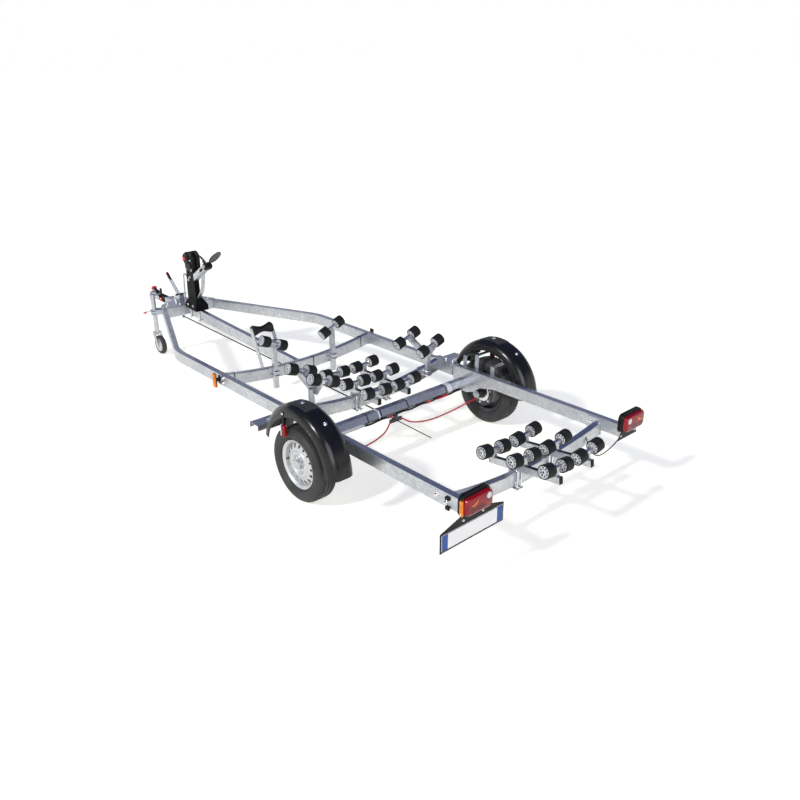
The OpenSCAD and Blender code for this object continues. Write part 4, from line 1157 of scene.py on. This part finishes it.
@dataclass
class Winch:
    """Winch on its post: two covers on an inner case, brake drum, red knob, and the post's bolts and fold."""

    datum: Datum
    x: float = 3.225
    base: float = 0.89
    height: float = 0.205
    half: float = 0.05
    inner: float = 0.014
    post_half: float = 0.026

    def cover(self) -> Outline:
        """Side view of a cover, as X from the post's middle and height from its top."""
        h = self.height
        front, back = arc(0.026, h - 0.06, 0.05, 0, 90, 10), arc(-0.02, h - 0.066, 0.066, 90, 90, 12)
        return [(-0.07, 0.0), (0.062, 0.0), (0.076, 0.06), *front, *back, (-0.086, 0.07)]

    def head(self) -> None:
        """Makes the winch with its covers, drums and knob."""
        shell = Shell("winch_moulded")
        upright = axes(self.datum.at(self.x, 0, self.base), -LEFT)
        outline = self.cover()
        for near in (-self.half, self.inner):
            shell.prism(outline, self.half - self.inner, moved(upright, 0, 0, near), Finishes.PLASTIC, 0.007)
        shell.prism(inset(outline, 0.012), 0.03, moved(upright, 0, 0, -0.015), Finishes.POST)
        left = axes(self.datum.at(self.x + 0.022, self.half, self.base + 0.13), LEFT)
        drum = [(0.0, 0.014), (0.02, 0.014), (0.026, 0.0115), (0.044, 0.0115), (0.047, 0.014), (0.052, 0.0135),
                (0.054, 0.011), (0.054, 0.0)]
        shell.lathe(drum, left, Finishes.PLASTIC, 40)
        knob = [(0.0, 0.036), (0.014, 0.0352), (0.0185, 0.032), (0.02, 0.027), (0.0185, 0.024), (0.02, 0.021),
                (0.0175, 0.014)]
        shell.lathe(knob, left, Finishes.RED, 32)
        boss = axes(self.datum.at(self.x - 0.035, self.half, self.base + 0.066), LEFT)
        shell.lathe([(0.0, 0.0135), (0.026, 0.0125), (0.028, 0.0)], boss, Finishes.PLASTIC, 28)
        for side in Side:
            for dx, dz in ((-0.058, 0.02), (0.048, 0.02), (-0.052, 0.12), (0.056, 0.076)):
                shell.bolt(self.datum.beside(side, self.x + dx, self.half, self.base + dz), side.out, 0.011)
        # Dark plates at the winch's rear where its slots are: painted shade of the slots' inside.
        for dz in (0.045, 0.07, 0.095):
            slot = axes(self.datum.at(self.x - 0.083, -0.032, self.base + dz), -FORE, UP)
            shell.prism(rounded(0.014, 0.026, 0.005, 3), 0.0025, slot, Finishes.POST, 0.0006)
        shell.build("frame", "black_plastic", ["winch_housing"])

    def post(self) -> None:
        """Makes the post's bolts and the straps round the drawbar."""
        shell = Shell("winch_post_fittings")
        for side in Side:
            for dx, z, y in ((0.032, 0.819, 0.028), (-0.05, 0.535, 0.072), (0.05, 0.538, 0.072)):
                shell.bolt(self.datum.beside(side, self.x + dx, y, z), side.out, 0.014)
        for here in (self.x - 0.085, self.x + 0.085):
            top = 0.4 + (here - 1.39) * 0.1 / 1.99
            for y in (-0.0305, 0.0305):
                ends = [self.datum.at(here, y, top + 0.03), self.datum.at(here, y, top - 0.118)]
                shell.tube(ends, 0.0055, Finishes.BRIGHT, 12)
                shell.bolt(self.datum.at(here, y, top - 0.108), -UP, 0.013)
            strap = axes(self.datum.at(here, 0, top - 0.108), UP)
            shell.prism(rounded(0.03, 0.09, 0.004, 3), 0.006, strap, Finishes.ZINC, 0.001)
        shell.build("frame", "galvanised")

    def fold(self) -> None:
        """Makes the post's folded front: a channel of sheet that widens the post toward the nose."""
        shell = Shell("winch_post_fold")
        edge = [(0.104, 0.565), (0.122, 0.6), (0.118, 0.7), (0.106, 0.8), (0.098, 0.888)]
        for side in Side:
            at = self.datum.at(self.x, side.value * self.post_half + 0.002, 0)
            cheek = [(0.045, 0.59), *edge, (0.045, 0.888)]
            shell.prism(cheek, 0.004, axes(at, -LEFT), Finishes.POST, 0.0008)
        front = [(0.1, 0.57), *edge, (0.094, 0.888), (0.102, 0.8), (0.114, 0.7), (0.118, 0.6)]
        at = self.datum.at(self.x, self.post_half, 0)
        shell.prism(front, 2 * self.post_half, axes(at, -LEFT), Finishes.POST)
        for side in Side:
            shell.bolt(self.datum.beside(side, self.x + 0.068, 0.028, 0.786), side.out, 0.014)
        shell.build("frame", "black_plastic")

    def build(self) -> None:
        """Makes the winch and what is on its post."""
        self.head()
        self.post()
        self.fold()


@dataclass
class BowStop:
    """V block with two oval pads at the end of the inclined arm, and the arm's bolts and its slot drawn as dark
    plates of painted shade.
    """

    datum: Datum
    root: tuple[float, float] = (3.175, 0.83)
    end: tuple[float, float] = (2.925, 0.985)
    pad_size: Place = (0.072, 0.156, 0.012)
    pad_at: Place = (-0.062, 0.066, 0.092)
    pad_turn: tuple[tuple[float, str], ...] = ((-25, "Z"), (-33, "X"), (-43, "Y"), (90, "X"))
    rib_pitch: float = 0.0115

    def along(self) -> tuple[Vector, Vector, Vector]:
        """The arm's end, and the directions along the arm toward it and across it, upward."""
        u = Vector((self.end[0] - self.root[0], 0, self.end[1] - self.root[1])).normalized()
        return self.datum.at(self.end[0], 0, self.end[1]), u, Vector((u.z, 0, -u.x))

    def pad_place(self, side: Side) -> Matrix:
        """Places a pad: local X across it, local Y along it, local Z out of its face."""
        x, y, z = self.pad_at
        at = self.datum.beside(side, self.end[0] + x, y, self.end[1] + z)
        place = Matrix.Translation(at) @ Matrix.Diagonal((1, side.value, 1, 1))
        for degrees, axis in self.pad_turn:
            place = place @ Matrix.Rotation(math.radians(degrees), 4, axis)
        return place

    def block(self, shell: Shell) -> None:
        """Adds the moulded V block on the arm's end."""
        tip, u, up = self.along()
        place = axes(tip - u * 0.006, u, up)
        levels = [(0.0, 0.066, 0.074), (0.004, 0.07, 0.078), (0.044, 0.066, 0.078), (0.054, 0.058, 0.072),
                  (0.058, 0.052, 0.064)]
        rings = [[(a - 0.001, b, d) for a, b in rounded(w, h, 0.01, 4)] for d, w, h in levels]
        shell.loft(rings, Finishes.PLASTIC, place)
        for side in Side:
            s = side.value
            stalk = [place @ Vector((0.02, s * 0.03, 0.05)), place @ Vector((0.042, s * 0.048, 0.062)),
                     self.pad_place(side) @ Vector((0.0, -0.035, 0.0))]
            shell.tube(stalk, 0.011, Finishes.PLASTIC, 14)
            shell.bolt(place @ Vector((0.0, s * 0.042, 0.028)), side.out, 0.015)

    def pad(self, shell: Shell, side: Side) -> None:
        """Adds one oval pad with a rounded rim and a ribbed face."""
        place = self.pad_place(side)
        w, h, t = self.pad_size
        half = t / 2
        steps = [(-half, 0.004), (-half + 0.0015, 0.0012), (-half + 0.004, 0.0), (half - 0.004, 0.0),
                 (half - 0.0015, 0.0012), (half, 0.004)]
        shell.stepped(oval(w, h, 56), steps, Finishes.BOW, place)
        for face in faces_of(place):
            for k in range(-5, 6):
                v = k * self.rib_pitch
                reach = (w / 2 - 0.006) * math.sqrt(max(0.0, 1 - (v / (h / 2 - 0.006)) ** 2))
                if reach > 0.006:
                    rib = rounded(2 * reach, 0.0042, 0.0018, 3)
                    shell.prism(rib, 0.0014, moved(face, 0, v, half - 0.0005), Finishes.BOW, 0.0004)

    def arm(self, shell: Shell) -> None:
        """Adds the arm's clamp plate, its bolts, and a dark plate on each side at its slot, painted shade of the
        slot's inside.
        """
        tip, u, up = self.along()
        for side in Side:
            out = side.out
            # Dark plate at the slot: painted shade of the slot's inside.
            slot = axes(tip - u * 0.085 + out * 0.0288, out, u)
            shell.prism(rounded(0.075, 0.026, 0.0125, 6), 0.0012, slot, Finishes.POST)
            for step in (0.15, 0.215):
                shell.bolt(tip - u * step + out * 0.029, out, 0.017)
        plate = axes(tip - u * 0.19 + up * 0.0285, up, u)
        shell.prism(rounded(0.06, 0.05, 0.004, 3), 0.005, plate, Finishes.ZINC, 0.001)
        shell.bolt(tip - u * 0.19 + up * 0.0333, up, 0.015)

    def build(self) -> None:
        """Makes block, pads and the arm's fittings."""
        shell = Shell("bow_stop_moulded")
        self.block(shell)
        for side in Side:
            self.pad(shell, side)
        shell.build("frame", "black_plastic", ["bow_stop_pads"])
        trim = Shell("bow_arm_fittings")
        self.arm(trim)
        trim.build("frame", "galvanised")


@dataclass
class Nose:
    """Coupling handle, brake lever and the bolts on the nose plate and the overrun housing."""

    datum: Datum
    grip_length: float = 0.11
    cheek: tuple[tuple[float, float], ...] = (
        (-0.05, 0.0), (0.07, 0.0), (0.07, 0.022), (0.058, 0.044), (0.034, 0.06), (-0.016, 0.066), (-0.034, 0.078),
        (-0.046, 0.076), (-0.052, 0.06), (-0.05, 0.02))
    plate_bolts: tuple[tuple[float, float], ...] = (
        (3.43, 0.24), (3.43, 0.09), (3.52, 0.185), (3.52, 0.085), (3.595, 0.06))

    @staticmethod
    def bar(shell: Shell, start: Vector, end: Vector, sizes: Sequence[tuple[float, float, float]]) -> None:
        """Adds a black bar of rounded section.

        Args:
            shell: The piece that the bar goes to.
            start: Middle of its first section.
            end: Middle of its last section.
            sizes: Share of the length, height and width of each section.
        """
        length = (end - start).length
        rings = [[(a, b, u * length) for a, b in rounded(h, w, min(h, w) * 0.3, 4)] for u, h, w in sizes]
        shell.loft(rings, Finishes.PLASTIC, axes(start, end - start, UP))

    def handle(self) -> None:
        """Makes the coupling's release handle with its red knob, and the side link with its button."""
        shell = Shell("coupling_handle_moulded")
        seat, tip = self.datum.at(4.108, 0, 0.4835), self.datum.at(4.208, 0, 0.512)
        self.bar(shell, seat, tip, ((0.0, 0.02, 0.028), (0.06, 0.026, 0.034), (0.35, 0.024, 0.03),
                                    (0.7, 0.022, 0.026), (1.0, 0.026, 0.03)))
        half = [(0.0, 0.03), (0.009, 0.0293), (0.0155, 0.026), (0.0195, 0.02), (0.021, 0.011), (0.0215, 0.0)]
        knob = half + [(r, -h) for r, h in reversed(half[:-1])]
        shell.lathe(knob, axes(tip, LEFT), Finishes.RED, 32)
        link = self.datum.at(3.94, 0.047, 0.436)
        self.bar(shell, self.datum.at(4.09, 0.036, 0.505), link, (
            (0.0, 0.02, 0.014), (0.1, 0.026, 0.016), (0.9, 0.026, 0.014), (1.0, 0.02, 0.012)))
        button = axes(link + Vector((0.012, 0.006, 0.008)), Vector((-0.5, 0.7, 0.5)))
        dome = [(0.0, 0.016), (0.008, 0.0155), (0.0115, 0.012), (0.0125, 0.0)]
        shell.lathe(dome, button, Finishes.LENS_AMBER, 24)
        shell.lathe([(0.0125, 0.008), (0.0155, 0.007), (0.016, -0.004)], button, Finishes.RED, 24)
        shell.build("frame", "black_plastic", ["coupling_handle"])

    def lever(self) -> None:
        """Makes the hand brake: side plates, channel lever, grip, cross bar and pins."""
        shell = Shell("brake_lever_channel")
        base, pivot = self.datum.at(3.6, 0, NOSE_TOP), self.datum.at(3.61, 0, 0.554)
        tip = self.datum.at(3.84, 0, 0.76)
        u = (tip - pivot).normalized()
        grip = tip - u * self.grip_length
        for y in (-0.022, 0.03):
            shell.prism(list(self.cheek), 0.008, axes(base + LEFT * y, -LEFT), Finishes.ZINC, 0.0012)
        quadrant = arc(0.028, 0.03, 0.03, -20, 200, 20)
        shell.prism(quadrant, 0.005, axes(base + LEFT * 0.019, -LEFT), Finishes.CAST, 0.0008)
        place = axes(pivot - u * 0.02, u, UP)
        length = (grip - pivot).length + 0.03
        for y in (-0.013, 0.013):
            shell.prism(rounded(0.026, 0.004, 0.0015, 2), length, moved(place, 0, y, 0), Finishes.CAST)
        shell.prism(rounded(0.02, 0.022, 0.003, 2), length, moved(place, 0.002, 0, 0), Finishes.PLATED)
        hold = axes(grip, u, UP)
        ribs: Outline = [(0.0, 0.0), (0.0135, 0.0), (0.0155, 0.003)]
        for k in range(7):
            ribs += [(0.016, 0.008 + k * 0.011), (0.0145, 0.013 + k * 0.011)]
        shell.lathe([*ribs, (0.016, 0.088), (0.0155, 0.094)], hold, Finishes.PLASTIC, 28)
        end = [(0.0155, 0.094), (0.015, 0.1), (0.012, 0.106), (0.006, 0.1095), (0.0, self.grip_length)]
        shell.lathe(end, hold, Finishes.RED, 28)
        cross = both([(0.0, -0.06), (0.0075, -0.06), (0.009, -0.0585)])
        shell.lathe(cross, axes(self.datum.at(3.56, 0, 0.574), LEFT), Finishes.PLASTIC, 24)
        for side in Side:
            for x in (0.045, -0.034):
                shell.bolt(base + Vector((x, side.value * 0.03, 0.02)), side.out, 0.013)
        shell.build("frame", "galvanised", ["brake_lever"])

    def bolts(self) -> None:
        """Makes the bolts of the nose plate, the housing's grease nipples and the bellows' clips."""
        shell = Shell("nose_fittings")
        for x, y in self.plate_bolts:
            for side in Side:
                shell.bolt(self.datum.beside(side, x, y, NOSE_TOP), UP, 0.019)
        nipple = [(0.006, 0.0), (0.006, 0.008), (0.0035, 0.01), (0.0035, 0.016), (0.0045, 0.018), (0.003, 0.022),
                  (0.0, 0.022)]
        for x, z in ((3.68, 0.4885), (3.8, 0.4825)):
            shell.lathe(nipple, axes(self.datum.at(x, 0.03, z), UP), Finishes.BRIGHT, 16)
        clip = [(0.036, 0.0), (0.0395, 0.0), (0.0405, 0.002), (0.0405, 0.008), (0.0395, 0.01), (0.036, 0.01)]
        for x in (3.86, 4.032):
            shell.lathe(clip, axes(self.datum.at(x, 0, 0.438), FORE), Finishes.BRIGHT, 40)
        for side in Side:
            for x, z in ((3.47, 0.43), (3.47, 0.475), (3.62, 0.45)):
                wide = 0.08 - 0.014 * min(1.0, (x - 3.43) / 0.06) - 0.016 * max(0.0, (x - 3.49) / 0.37)
                shell.bolt(self.datum.beside(side, x, wide, z), side.out, 0.015, Finishes.CAST)
            for x, z in ((4.135, 0.445), (4.085, 0.452)):
                shell.bolt(self.datum.beside(side, x, 0.034, z), side.out, 0.017)
        shell.build("frame", "galvanised")

    def build(self) -> None:
        """Makes all of the nose's pieces."""
        self.handle()
        self.lever()
        self.bolts()


@dataclass
class Jockey:
    """Jockey wheel with its tyre and disc, and the grips on the clamp's bar and on the crank."""

    datum: Datum
    x: float = 3.54
    y: float = 0.3315
    bar_lean: float = 110.0
    rail_slope: float = -22.0

    def wheel(self) -> None:
        """Makes the wheel: ribbed dark tyre on a pale dished disc."""
        shell = Shell("jockey_wheel_tyred")
        place = axes(middle("jockey_wheel"), LEFT)
        tyre = [(0.068, 0.021), (0.074, 0.0245), (0.082, 0.0252), (0.09, 0.023), (0.0955, 0.018), (0.0985, 0.0125),
                (0.0993, 0.0105), (0.0978, 0.0095), (0.0978, 0.0075), (0.0997, 0.0065), (0.0999, 0.0012),
                (0.0985, 0.0006)]
        shell.lathe(both(tyre), place, Finishes.TYRE, 72, closed=True)
        disc = [(0.0082, 0.027), (0.021, 0.027), (0.0245, 0.0255), (0.028, 0.0205), (0.034, 0.0188),
                (0.052, 0.0188), (0.0585, 0.02), (0.063, 0.0235), (0.0675, 0.024), (0.069, 0.0205)]
        shell.lathe(both(disc), place, Finishes.RIM, 60, closed=True)
        for face in faces_of(place):
            for k in range(6):
                rib = moved(spun(face, 60 * k), 0.043, 0, 0.0186)
                shell.prism(rounded(0.016, 0.005, 0.002, 3), 0.0034, rib, Finishes.RIM, 0.0008)
        shell.build("jockey_roll", "roller_rubber", ["jockey_wheel"])

    def clamp(self) -> None:
        """Makes the red grip on the clamp's bar, the clamp's bolts and its rings."""
        shell = Shell("jockey_clamp_fittings")
        lean = math.radians(self.bar_lean)
        run = Vector((math.sin(lean), 0, math.cos(lean)))
        hold = axes(self.datum.at(self.x + 0.06, self.y, 0.45) + run * 0.158, run)
        grip = [(0.0, -0.001), (0.0085, 0.0), (0.0105, 0.004), (0.0112, 0.02), (0.0118, 0.05), (0.011, 0.058),
                (0.0085, 0.063), (0.0, 0.064)]
        shell.lathe(grip, hold, Finishes.RED, 24)
        collar = axes(self.datum.at(self.x, self.y, 0.425), UP)
        for z in (0.006, 0.036):
            ring = [(0.0355, z), (0.0372, z + 0.001), (0.0372, z + 0.007), (0.0355, z + 0.008)]
            shell.lathe(ring, collar, Finishes.PLASTIC, 40)
        slope = math.radians(self.rail_slope)
        out = Vector((-math.sin(slope), math.cos(slope), 0))
        ahead = Vector((math.cos(slope), math.sin(slope), 0))
        root = self.datum.at(self.x, self.y - 0.08, 0.45)
        for u in (-0.052, -0.01):
            shell.bolt(root + ahead * u + out * 0.0635, out, 0.013)
        shell.build("frame", "dark_steel")

    def crank(self) -> None:
        """Makes the crank's grip and the cap of the tube."""
        shell = Shell("jockey_crank_grip")
        at = self.datum.at(self.x, self.y, 0.628)
        grip = [(0.0, -0.006), (0.008, -0.006), (0.0085, 0.002), (0.011, 0.006), (0.012, 0.02), (0.0115, 0.05),
                (0.009, 0.056), (0.0, 0.057)]
        shell.lathe(grip, axes(at - LEFT * 0.1, UP), Finishes.PLASTIC, 24)
        cap = [(0.0, 0.024), (0.018, 0.0235), (0.0255, 0.021), (0.0285, 0.016), (0.0285, 0.002), (0.026, 0.0)]
        shell.lathe(cap, axes(at - UP * 0.012, UP), Finishes.CAST, 40)
        shell.build("jockey_leg", "galvanised")

    def build(self) -> None:
        """Makes the wheel, the clamp's fittings and the crank's grip."""
        self.wheel()
        self.clamp()
        self.crank()


@dataclass
class Markers:
    """Amber markers on the rails and two-coloured markers at the mudguards' edges."""

    datum: Datum
    rail_x: float = 1.4
    guard_x: float = 0.072
    guard_edge: float = 0.325 + math.sqrt(0.337 ** 2 - 0.117 ** 2)

    def rail_marker(self, shell: Shell, side: Side) -> None:
        """Adds one amber marker on its stalk."""
        foot = axes(self.datum.beside(side, self.rail_x, RAIL_OUT, 0.452), side.out, UP)
        shell.prism(rounded(0.07, 0.03, 0.004, 3), 0.004, foot, Finishes.PLASTIC, 0.0008)
        shell.prism(rounded(0.024, 0.024, 0.004, 3), 0.034, foot, Finishes.PLASTIC)
        back = axes(self.datum.beside(side, self.rail_x, RAIL_OUT + 0.034, 0.451), side.out, UP)
        shell.prism(rounded(0.124, 0.04, 0.008, 5), 0.008, back, Finishes.PLASTIC, 0.001)
        steps = [(0.007, 0.0), (0.017, 0.0006), (0.0215, 0.003), (0.0237, 0.008)]
        shell.stepped(rounded(0.12, 0.036, 0.008, 5), steps, Finishes.LENS_AMBER, back)

    def guard_marker(self, shell: Shell, side: Side) -> None:
        """Adds one marker under a mudguard's edge: red to the rear, clear to the front, on a bracket."""
        x, edge = self.guard_x, self.guard_edge
        bracket = axes(self.datum.beside(side, x, 1.0705, edge - 0.0125), side.out, UP)
        shell.prism(rounded(0.095, 0.02, 0.004, 3), 0.004, bracket, Finishes.PLASTIC, 0.0008)
        shell.bolt(bracket @ Vector((0.034, 0, 0.0038)), side.out, 0.011)
        block = axes(self.datum.beside(side, x, 1.0565, edge - 0.104), side.out, UP)
        shell.prism(rounded(0.092, 0.012, 0.003, 3), 0.03, block, Finishes.PLASTIC, 0.0015)
        steps = [(0.0, 0.0), (0.012, 0.0006), (0.016, 0.003), (0.0186, 0.008)]
        for ahead, finish in ((1, Finishes.LENS_CLEAR), (-1, Finishes.LENS_RED)):
            at = self.datum.beside(side, x + 0.005 * ahead, 1.0715, edge - 0.104)
            shell.stepped(rounded(0.09, 0.0296, 0.01, 5), steps, finish, axes(at, FORE * ahead, UP))

    def build(self) -> None:
        """Makes all four markers."""
        shell = Shell("marker_lamps_lensed")
        for side in Side:
            self.rail_marker(shell, side)
            self.guard_marker(shell, side)
        shell.build("frame", "amber_lens", ["marker_lamps"])


@dataclass(frozen=True)
class Beam:
    """One cradle beam: place of the group's middle axle, tilt along, half length and its stands."""

    x: float
    y: float
    z: float
    tilt: float
    half: float
    stands: tuple[float, ...]

    def place(self, datum: Datum, side: Side) -> Matrix:
        """Frame of the group: X along the beam, Z up from the axles."""
        at = datum.beside(side, self.x, self.y, self.z)
        return Matrix.Translation(at) @ Matrix.Rotation(math.radians(self.tilt), 4, "Y")


@dataclass(frozen=True)
class Arch:
    """One arched cross-member: its X, and its drop under the rails' top in the middle and at the ends."""

    x: float
    drop: float
    end_drop: float
    half: float = 0.755

    def top(self, y: float) -> float:
        """Height of the cross-member's top at a given Y."""
        rise = self.drop - self.end_drop
        r = (self.half ** 2 + rise ** 2) / (2 * rise)
        return RAIL_TOP - self.drop + r - math.sqrt(r * r - y * y)


@dataclass
class FrameTrim:
    """Caps, strips, U-bolts, ties and bolts on the frame."""

    datum: Datum
    beams: tuple[Beam, ...] = (Beam(0.422, 0.154, 0.532, 0.0, 0.292, (0.258, 0.0, -0.258)),
                               Beam(-1.29, 0.163, 0.524, 6.6, 0.287, (0.253, 0.0, -0.253)))
    beam_drop: float = 0.077
    tie: float = 0.0018
    arches: tuple[Arch, ...] = (Arch(1.365, 0.07, 0.0), Arch(0.425, 0.085, 0.0), Arch(-1.225, 0.1, 0.03))
    axle: tuple[float, float] = (0.13, 0.355)
    axle_apothem: float = 0.0464
    axle_ties: tuple[tuple[float, float, Finish], ...] = (
        (0.315, 0.009, Finishes.PLASTIC), (0.2, 0.012, Finishes.PLATED), (0.18, 0.009, Finishes.PLASTIC),
        (-0.095, 0.009, Finishes.PLASTIC), (-0.525, 0.009, Finishes.PLASTIC), (-0.55, 0.045, Finishes.PLATED))
    rail_bolts: tuple[tuple[float, float, float, float], ...] = (
        (1.345, RAIL_OUT, 0.43, 0.019), (1.345, RAIL_OUT, 0.472, 0.019), (0.27, 0.813, 0.484, 0.019),
        (0.38, 0.813, 0.484, 0.019), (-1.225, RAIL_OUT, 0.43, 0.019), (-1.144, RAIL_OUT, 0.45, 0.019),
        (0.14, 0.81, 0.44, 0.017), (0.14, 0.81, 0.472, 0.017), (0.008, 0.81, 0.44, 0.017),
        (0.008, 0.81, 0.472, 0.017), (-0.162, 0.81, 0.44, 0.017), (-0.162, 0.81, 0.472, 0.017))
    pole: tuple[Place, ...] = (
        (3.41, 0.03, 0.506), (3.405, 0.03, 0.628), (3.387, 0.03, 0.815), (3.38, 0.03, 0.831), (3.366, 0.03, 0.836),
        (3.327, 0.026, 0.824))

    def caps(self) -> None:
        """Makes the black end caps of the cradle beams and the strips on the beams."""
        shell = Shell("beam_end_caps")
        full = rounded(0.05, 0.034, 0.005, 4)
        steps = [(-0.004, 0.004), (0.0, 0.004), (0.0, 0.0), (0.003, 0.0004), (0.0045, 0.0025)]
        for side in Side:
            for beam in self.beams:
                group = beam.place(self.datum, side)
                for s in (1, -1):
                    end = moved(group, s * beam.half, 0, -self.beam_drop)
                    cap = axes(end.translation, end.to_3x3() @ Vector((s, 0, 0)), UP)
                    shell.stepped(full, steps, Finishes.PLASTIC, cap)
                for a, b in zip(beam.stands, beam.stands[1:]):
                    mid = moved(group, (a + b) / 2, 0, 0.0248 - self.beam_drop)
                    shell.prism(rounded(a - b - 0.05, 0.02, 0.004, 3), 0.0016, mid, Finishes.ROLLER, 0.0004)
        shell.build("frame", "black_plastic")

    @staticmethod
    def hoop(shell: Shell, at: Vector, axis: Vector, legs: Vector, length: float) -> None:
        """Adds a U-bolt: two legs, the bow between them, a plate and two nuts.

        Args:
            shell: The piece that it goes to.
            at: Middle of the bow.
            axis: Direction of the legs, from the bow.
            legs: Half of the way from one leg to the other.
            length: Length of the legs.
        """
        wide = legs.length
        bow = [at + legs * u - axis * (0.2 * wide * v) for u, v in arc(0, 0, 1, 0, 180, 8)]
        shell.tube([at + legs + axis * length, *bow, at - legs + axis * length], 0.005, Finishes.BRIGHT, 10)
        seat = length - 0.016
        plate = axes(at + axis * (seat - 0.005), axis, legs)
        shell.prism(rounded(2 * wide + 0.028, 0.026, 0.004, 3), 0.005, plate, Finishes.ZINC, 0.001)
        for s in (1, -1):
            shell.bolt(at + legs * s + axis * seat, axis, 0.013)

    def clamps(self) -> None:
        """Makes the U-bolts that hold saddles and posts to the cross-members."""
        shell = Shell("cradle_clamps")
        front, main, _ = self.arches
        for side in Side:
            for beam, arch in zip(self.beams, self.arches[1:]):
                for dy in (0.019, -0.019):
                    at = self.datum.at(arch.x, side.value * beam.y + dy, arch.top(beam.y) + 0.012)
                    self.hoop(shell, at, -UP, FORE * 0.0385, 0.14)
            for x, y, arch in ((1.296, 0.311, front), (0.366, 0.605, main)):
                for drop in (0.03, 0.07):
                    at = self.datum.beside(side, x, y, arch.top(y) - drop)
                    self.hoop(shell, at, FORE, LEFT * 0.0255, 0.125)
        shell.build("frame", "galvanised")

    def ties(self) -> None:
        """Makes the ties round the front cross-member and the axle, and the cable that they hold there."""
        shell = Shell("cable_ties")
        front = self.arches[0]
        for y in (0.691, -0.114, -0.663):
            at = self.datum.at(front.x, y, front.top(y) - 0.05)
            shell.band(rounded(0.1024, 0.0524, 0.008, 4), self.tie, 0.008, axes(at, LEFT, UP), Finishes.PLASTIC)
        flats = hexagon(self.axle_apothem / math.cos(math.radians(30)))
        for y, wide, finish in self.axle_ties:
            at = self.datum.at(self.axle[0], y, self.axle[1])
            shell.band(flats, self.tie, wide, axes(at, -LEFT), finish)
        cable = [self.datum.at(0.083, 0.34 - 0.03 * k, 0.329 - 0.004 * math.sin(0.9 * k)) for k in range(35)]
        shell.tube(cable, 0.0075, Finishes.PLASTIC, 10)
        for y, run in ((0.1, 0.03), (-0.3, 0.05), (-0.42, 0.12)):
            sleeve = [self.datum.at(0.08, y, 0.328), self.datum.at(0.08, y - run, 0.328)]
            shell.tube(sleeve, 0.0088, Finishes.RED_SHEATH, 12)
        shell.build("frame", "black_plastic")

    def clips(self) -> None:
        """Makes the black clips on the left rail's rear end and the pole beside the winch post."""
        shell = Shell("rail_clips")
        for x, z in ((-1.244, 0.467), (-1.247, 0.402)):
            place = axes(self.datum.at(x, RAIL_OUT, z), LEFT, UP)
            shell.prism(rounded(0.026, 0.034, 0.006, 4), 0.012, place, Finishes.PLASTIC, 0.002)
        shell.tube([self.datum.at(*p) for p in self.pole], 0.008, Finishes.ZINC, 12)
        shell.build("frame", "black_plastic")

    def hub(self, shell: Shell, side: Side) -> None:
        """Adds the ring, the bolts and the boss cap on one backplate's inner side."""
        back = axes(self.datum.beside(side, 0, 0.8725, 0.281), -side.out)
        ring = [(0.046, 0.0), (0.078, 0.0), (0.078, 0.004), (0.072, 0.009), (0.052, 0.009), (0.046, 0.004)]
        shell.lathe(ring, back, Finishes.BRIGHT, 40, closed=True)
        for x, y in arc(0, 0, 0.094, 20, 300, 5):
            shell.bolt(back @ Vector((x, y, 0.0)), -side.out, 0.011)
        boss = axes(self.datum.beside(side, 0, 0.8005, 0.281), -side.out)
        cap = [(0.0, 0.006), (0.01, 0.0055), (0.012, 0.003), (0.03, 0.0025), (0.033, 0.001), (0.033, -0.001)]
        shell.lathe(cap, boss, Finishes.CAST, 36)

    def bolts(self) -> None:
        """Makes the bolts on the rails, the stays and the lamp boards, and what is on the hubs."""
        shell = Shell("frame_bolts")
        for side in Side:
            for x, y, z, across in self.rail_bolts:
                shell.bolt(self.datum.beside(side, x, y, z), side.out, across)
            for x in (0.265, 0.345):
                shell.bolt(self.datum.beside(side, x, 0.78, 0.508), UP, 0.019)
            for x in (-1.14, -1.165):
                shell.bolt(self.datum.beside(side, x, 0.747, 0.45), -side.out, 0.017)
            shell.bolt(self.datum.beside(side, 0.463, 0.95, 0.45), UP, 0.017)
            self.hub(shell, side)
            for y in (0.88, 0.714):
                shell.bolt(self.datum.beside(side, -1.442, y, 0.438), -FORE, 0.009)
        shell.build("frame", "galvanised")

    def build(self) -> None:
        """Makes all of the trim."""
        self.caps()
        self.clamps()
        self.ties()
        self.clips()
        self.bolts()


def roller_pairs(frame: dict) -> list[RollerPair]:
    """Finds the roller pairs in the frame's joints."""
    found = []
    for joint in frame["joints"]:
        node = joint["name"].removesuffix("_spin")
        if "rollers" in node:
            found.append(RollerPair(node, Vector(joint["pos_m"]), Vector(joint["axis"])))
    return found


def main() -> None:
    """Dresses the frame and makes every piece."""
    logging.basicConfig(level=logging.INFO, format="%(name)s: %(message)s")
    for made in list(bpy.data.objects):
        bpy.data.objects.remove(made)
    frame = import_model()
    wheel = next(j for j in frame["joints"] if j["name"] == "wheel_left_spin")
    datum = Datum(wheel["pos_m"][0])
    Studio(datum).build()
    FrameLooks().dress(frame["nodes"])
    for side in Side:
        Wheel(side).build()
        Mudguard(side, datum).build()
    for pair in roller_pairs(frame):
        pair.build()
    for piece in (KeelRoller(), TailLamps(datum), NumberPlate(), Winch(datum), BowStop(datum), Nose(datum),
                  Jockey(datum), Markers(datum), FrameTrim(datum)):
        piece.build()
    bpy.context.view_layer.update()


if __name__ == "__main__":
    main()
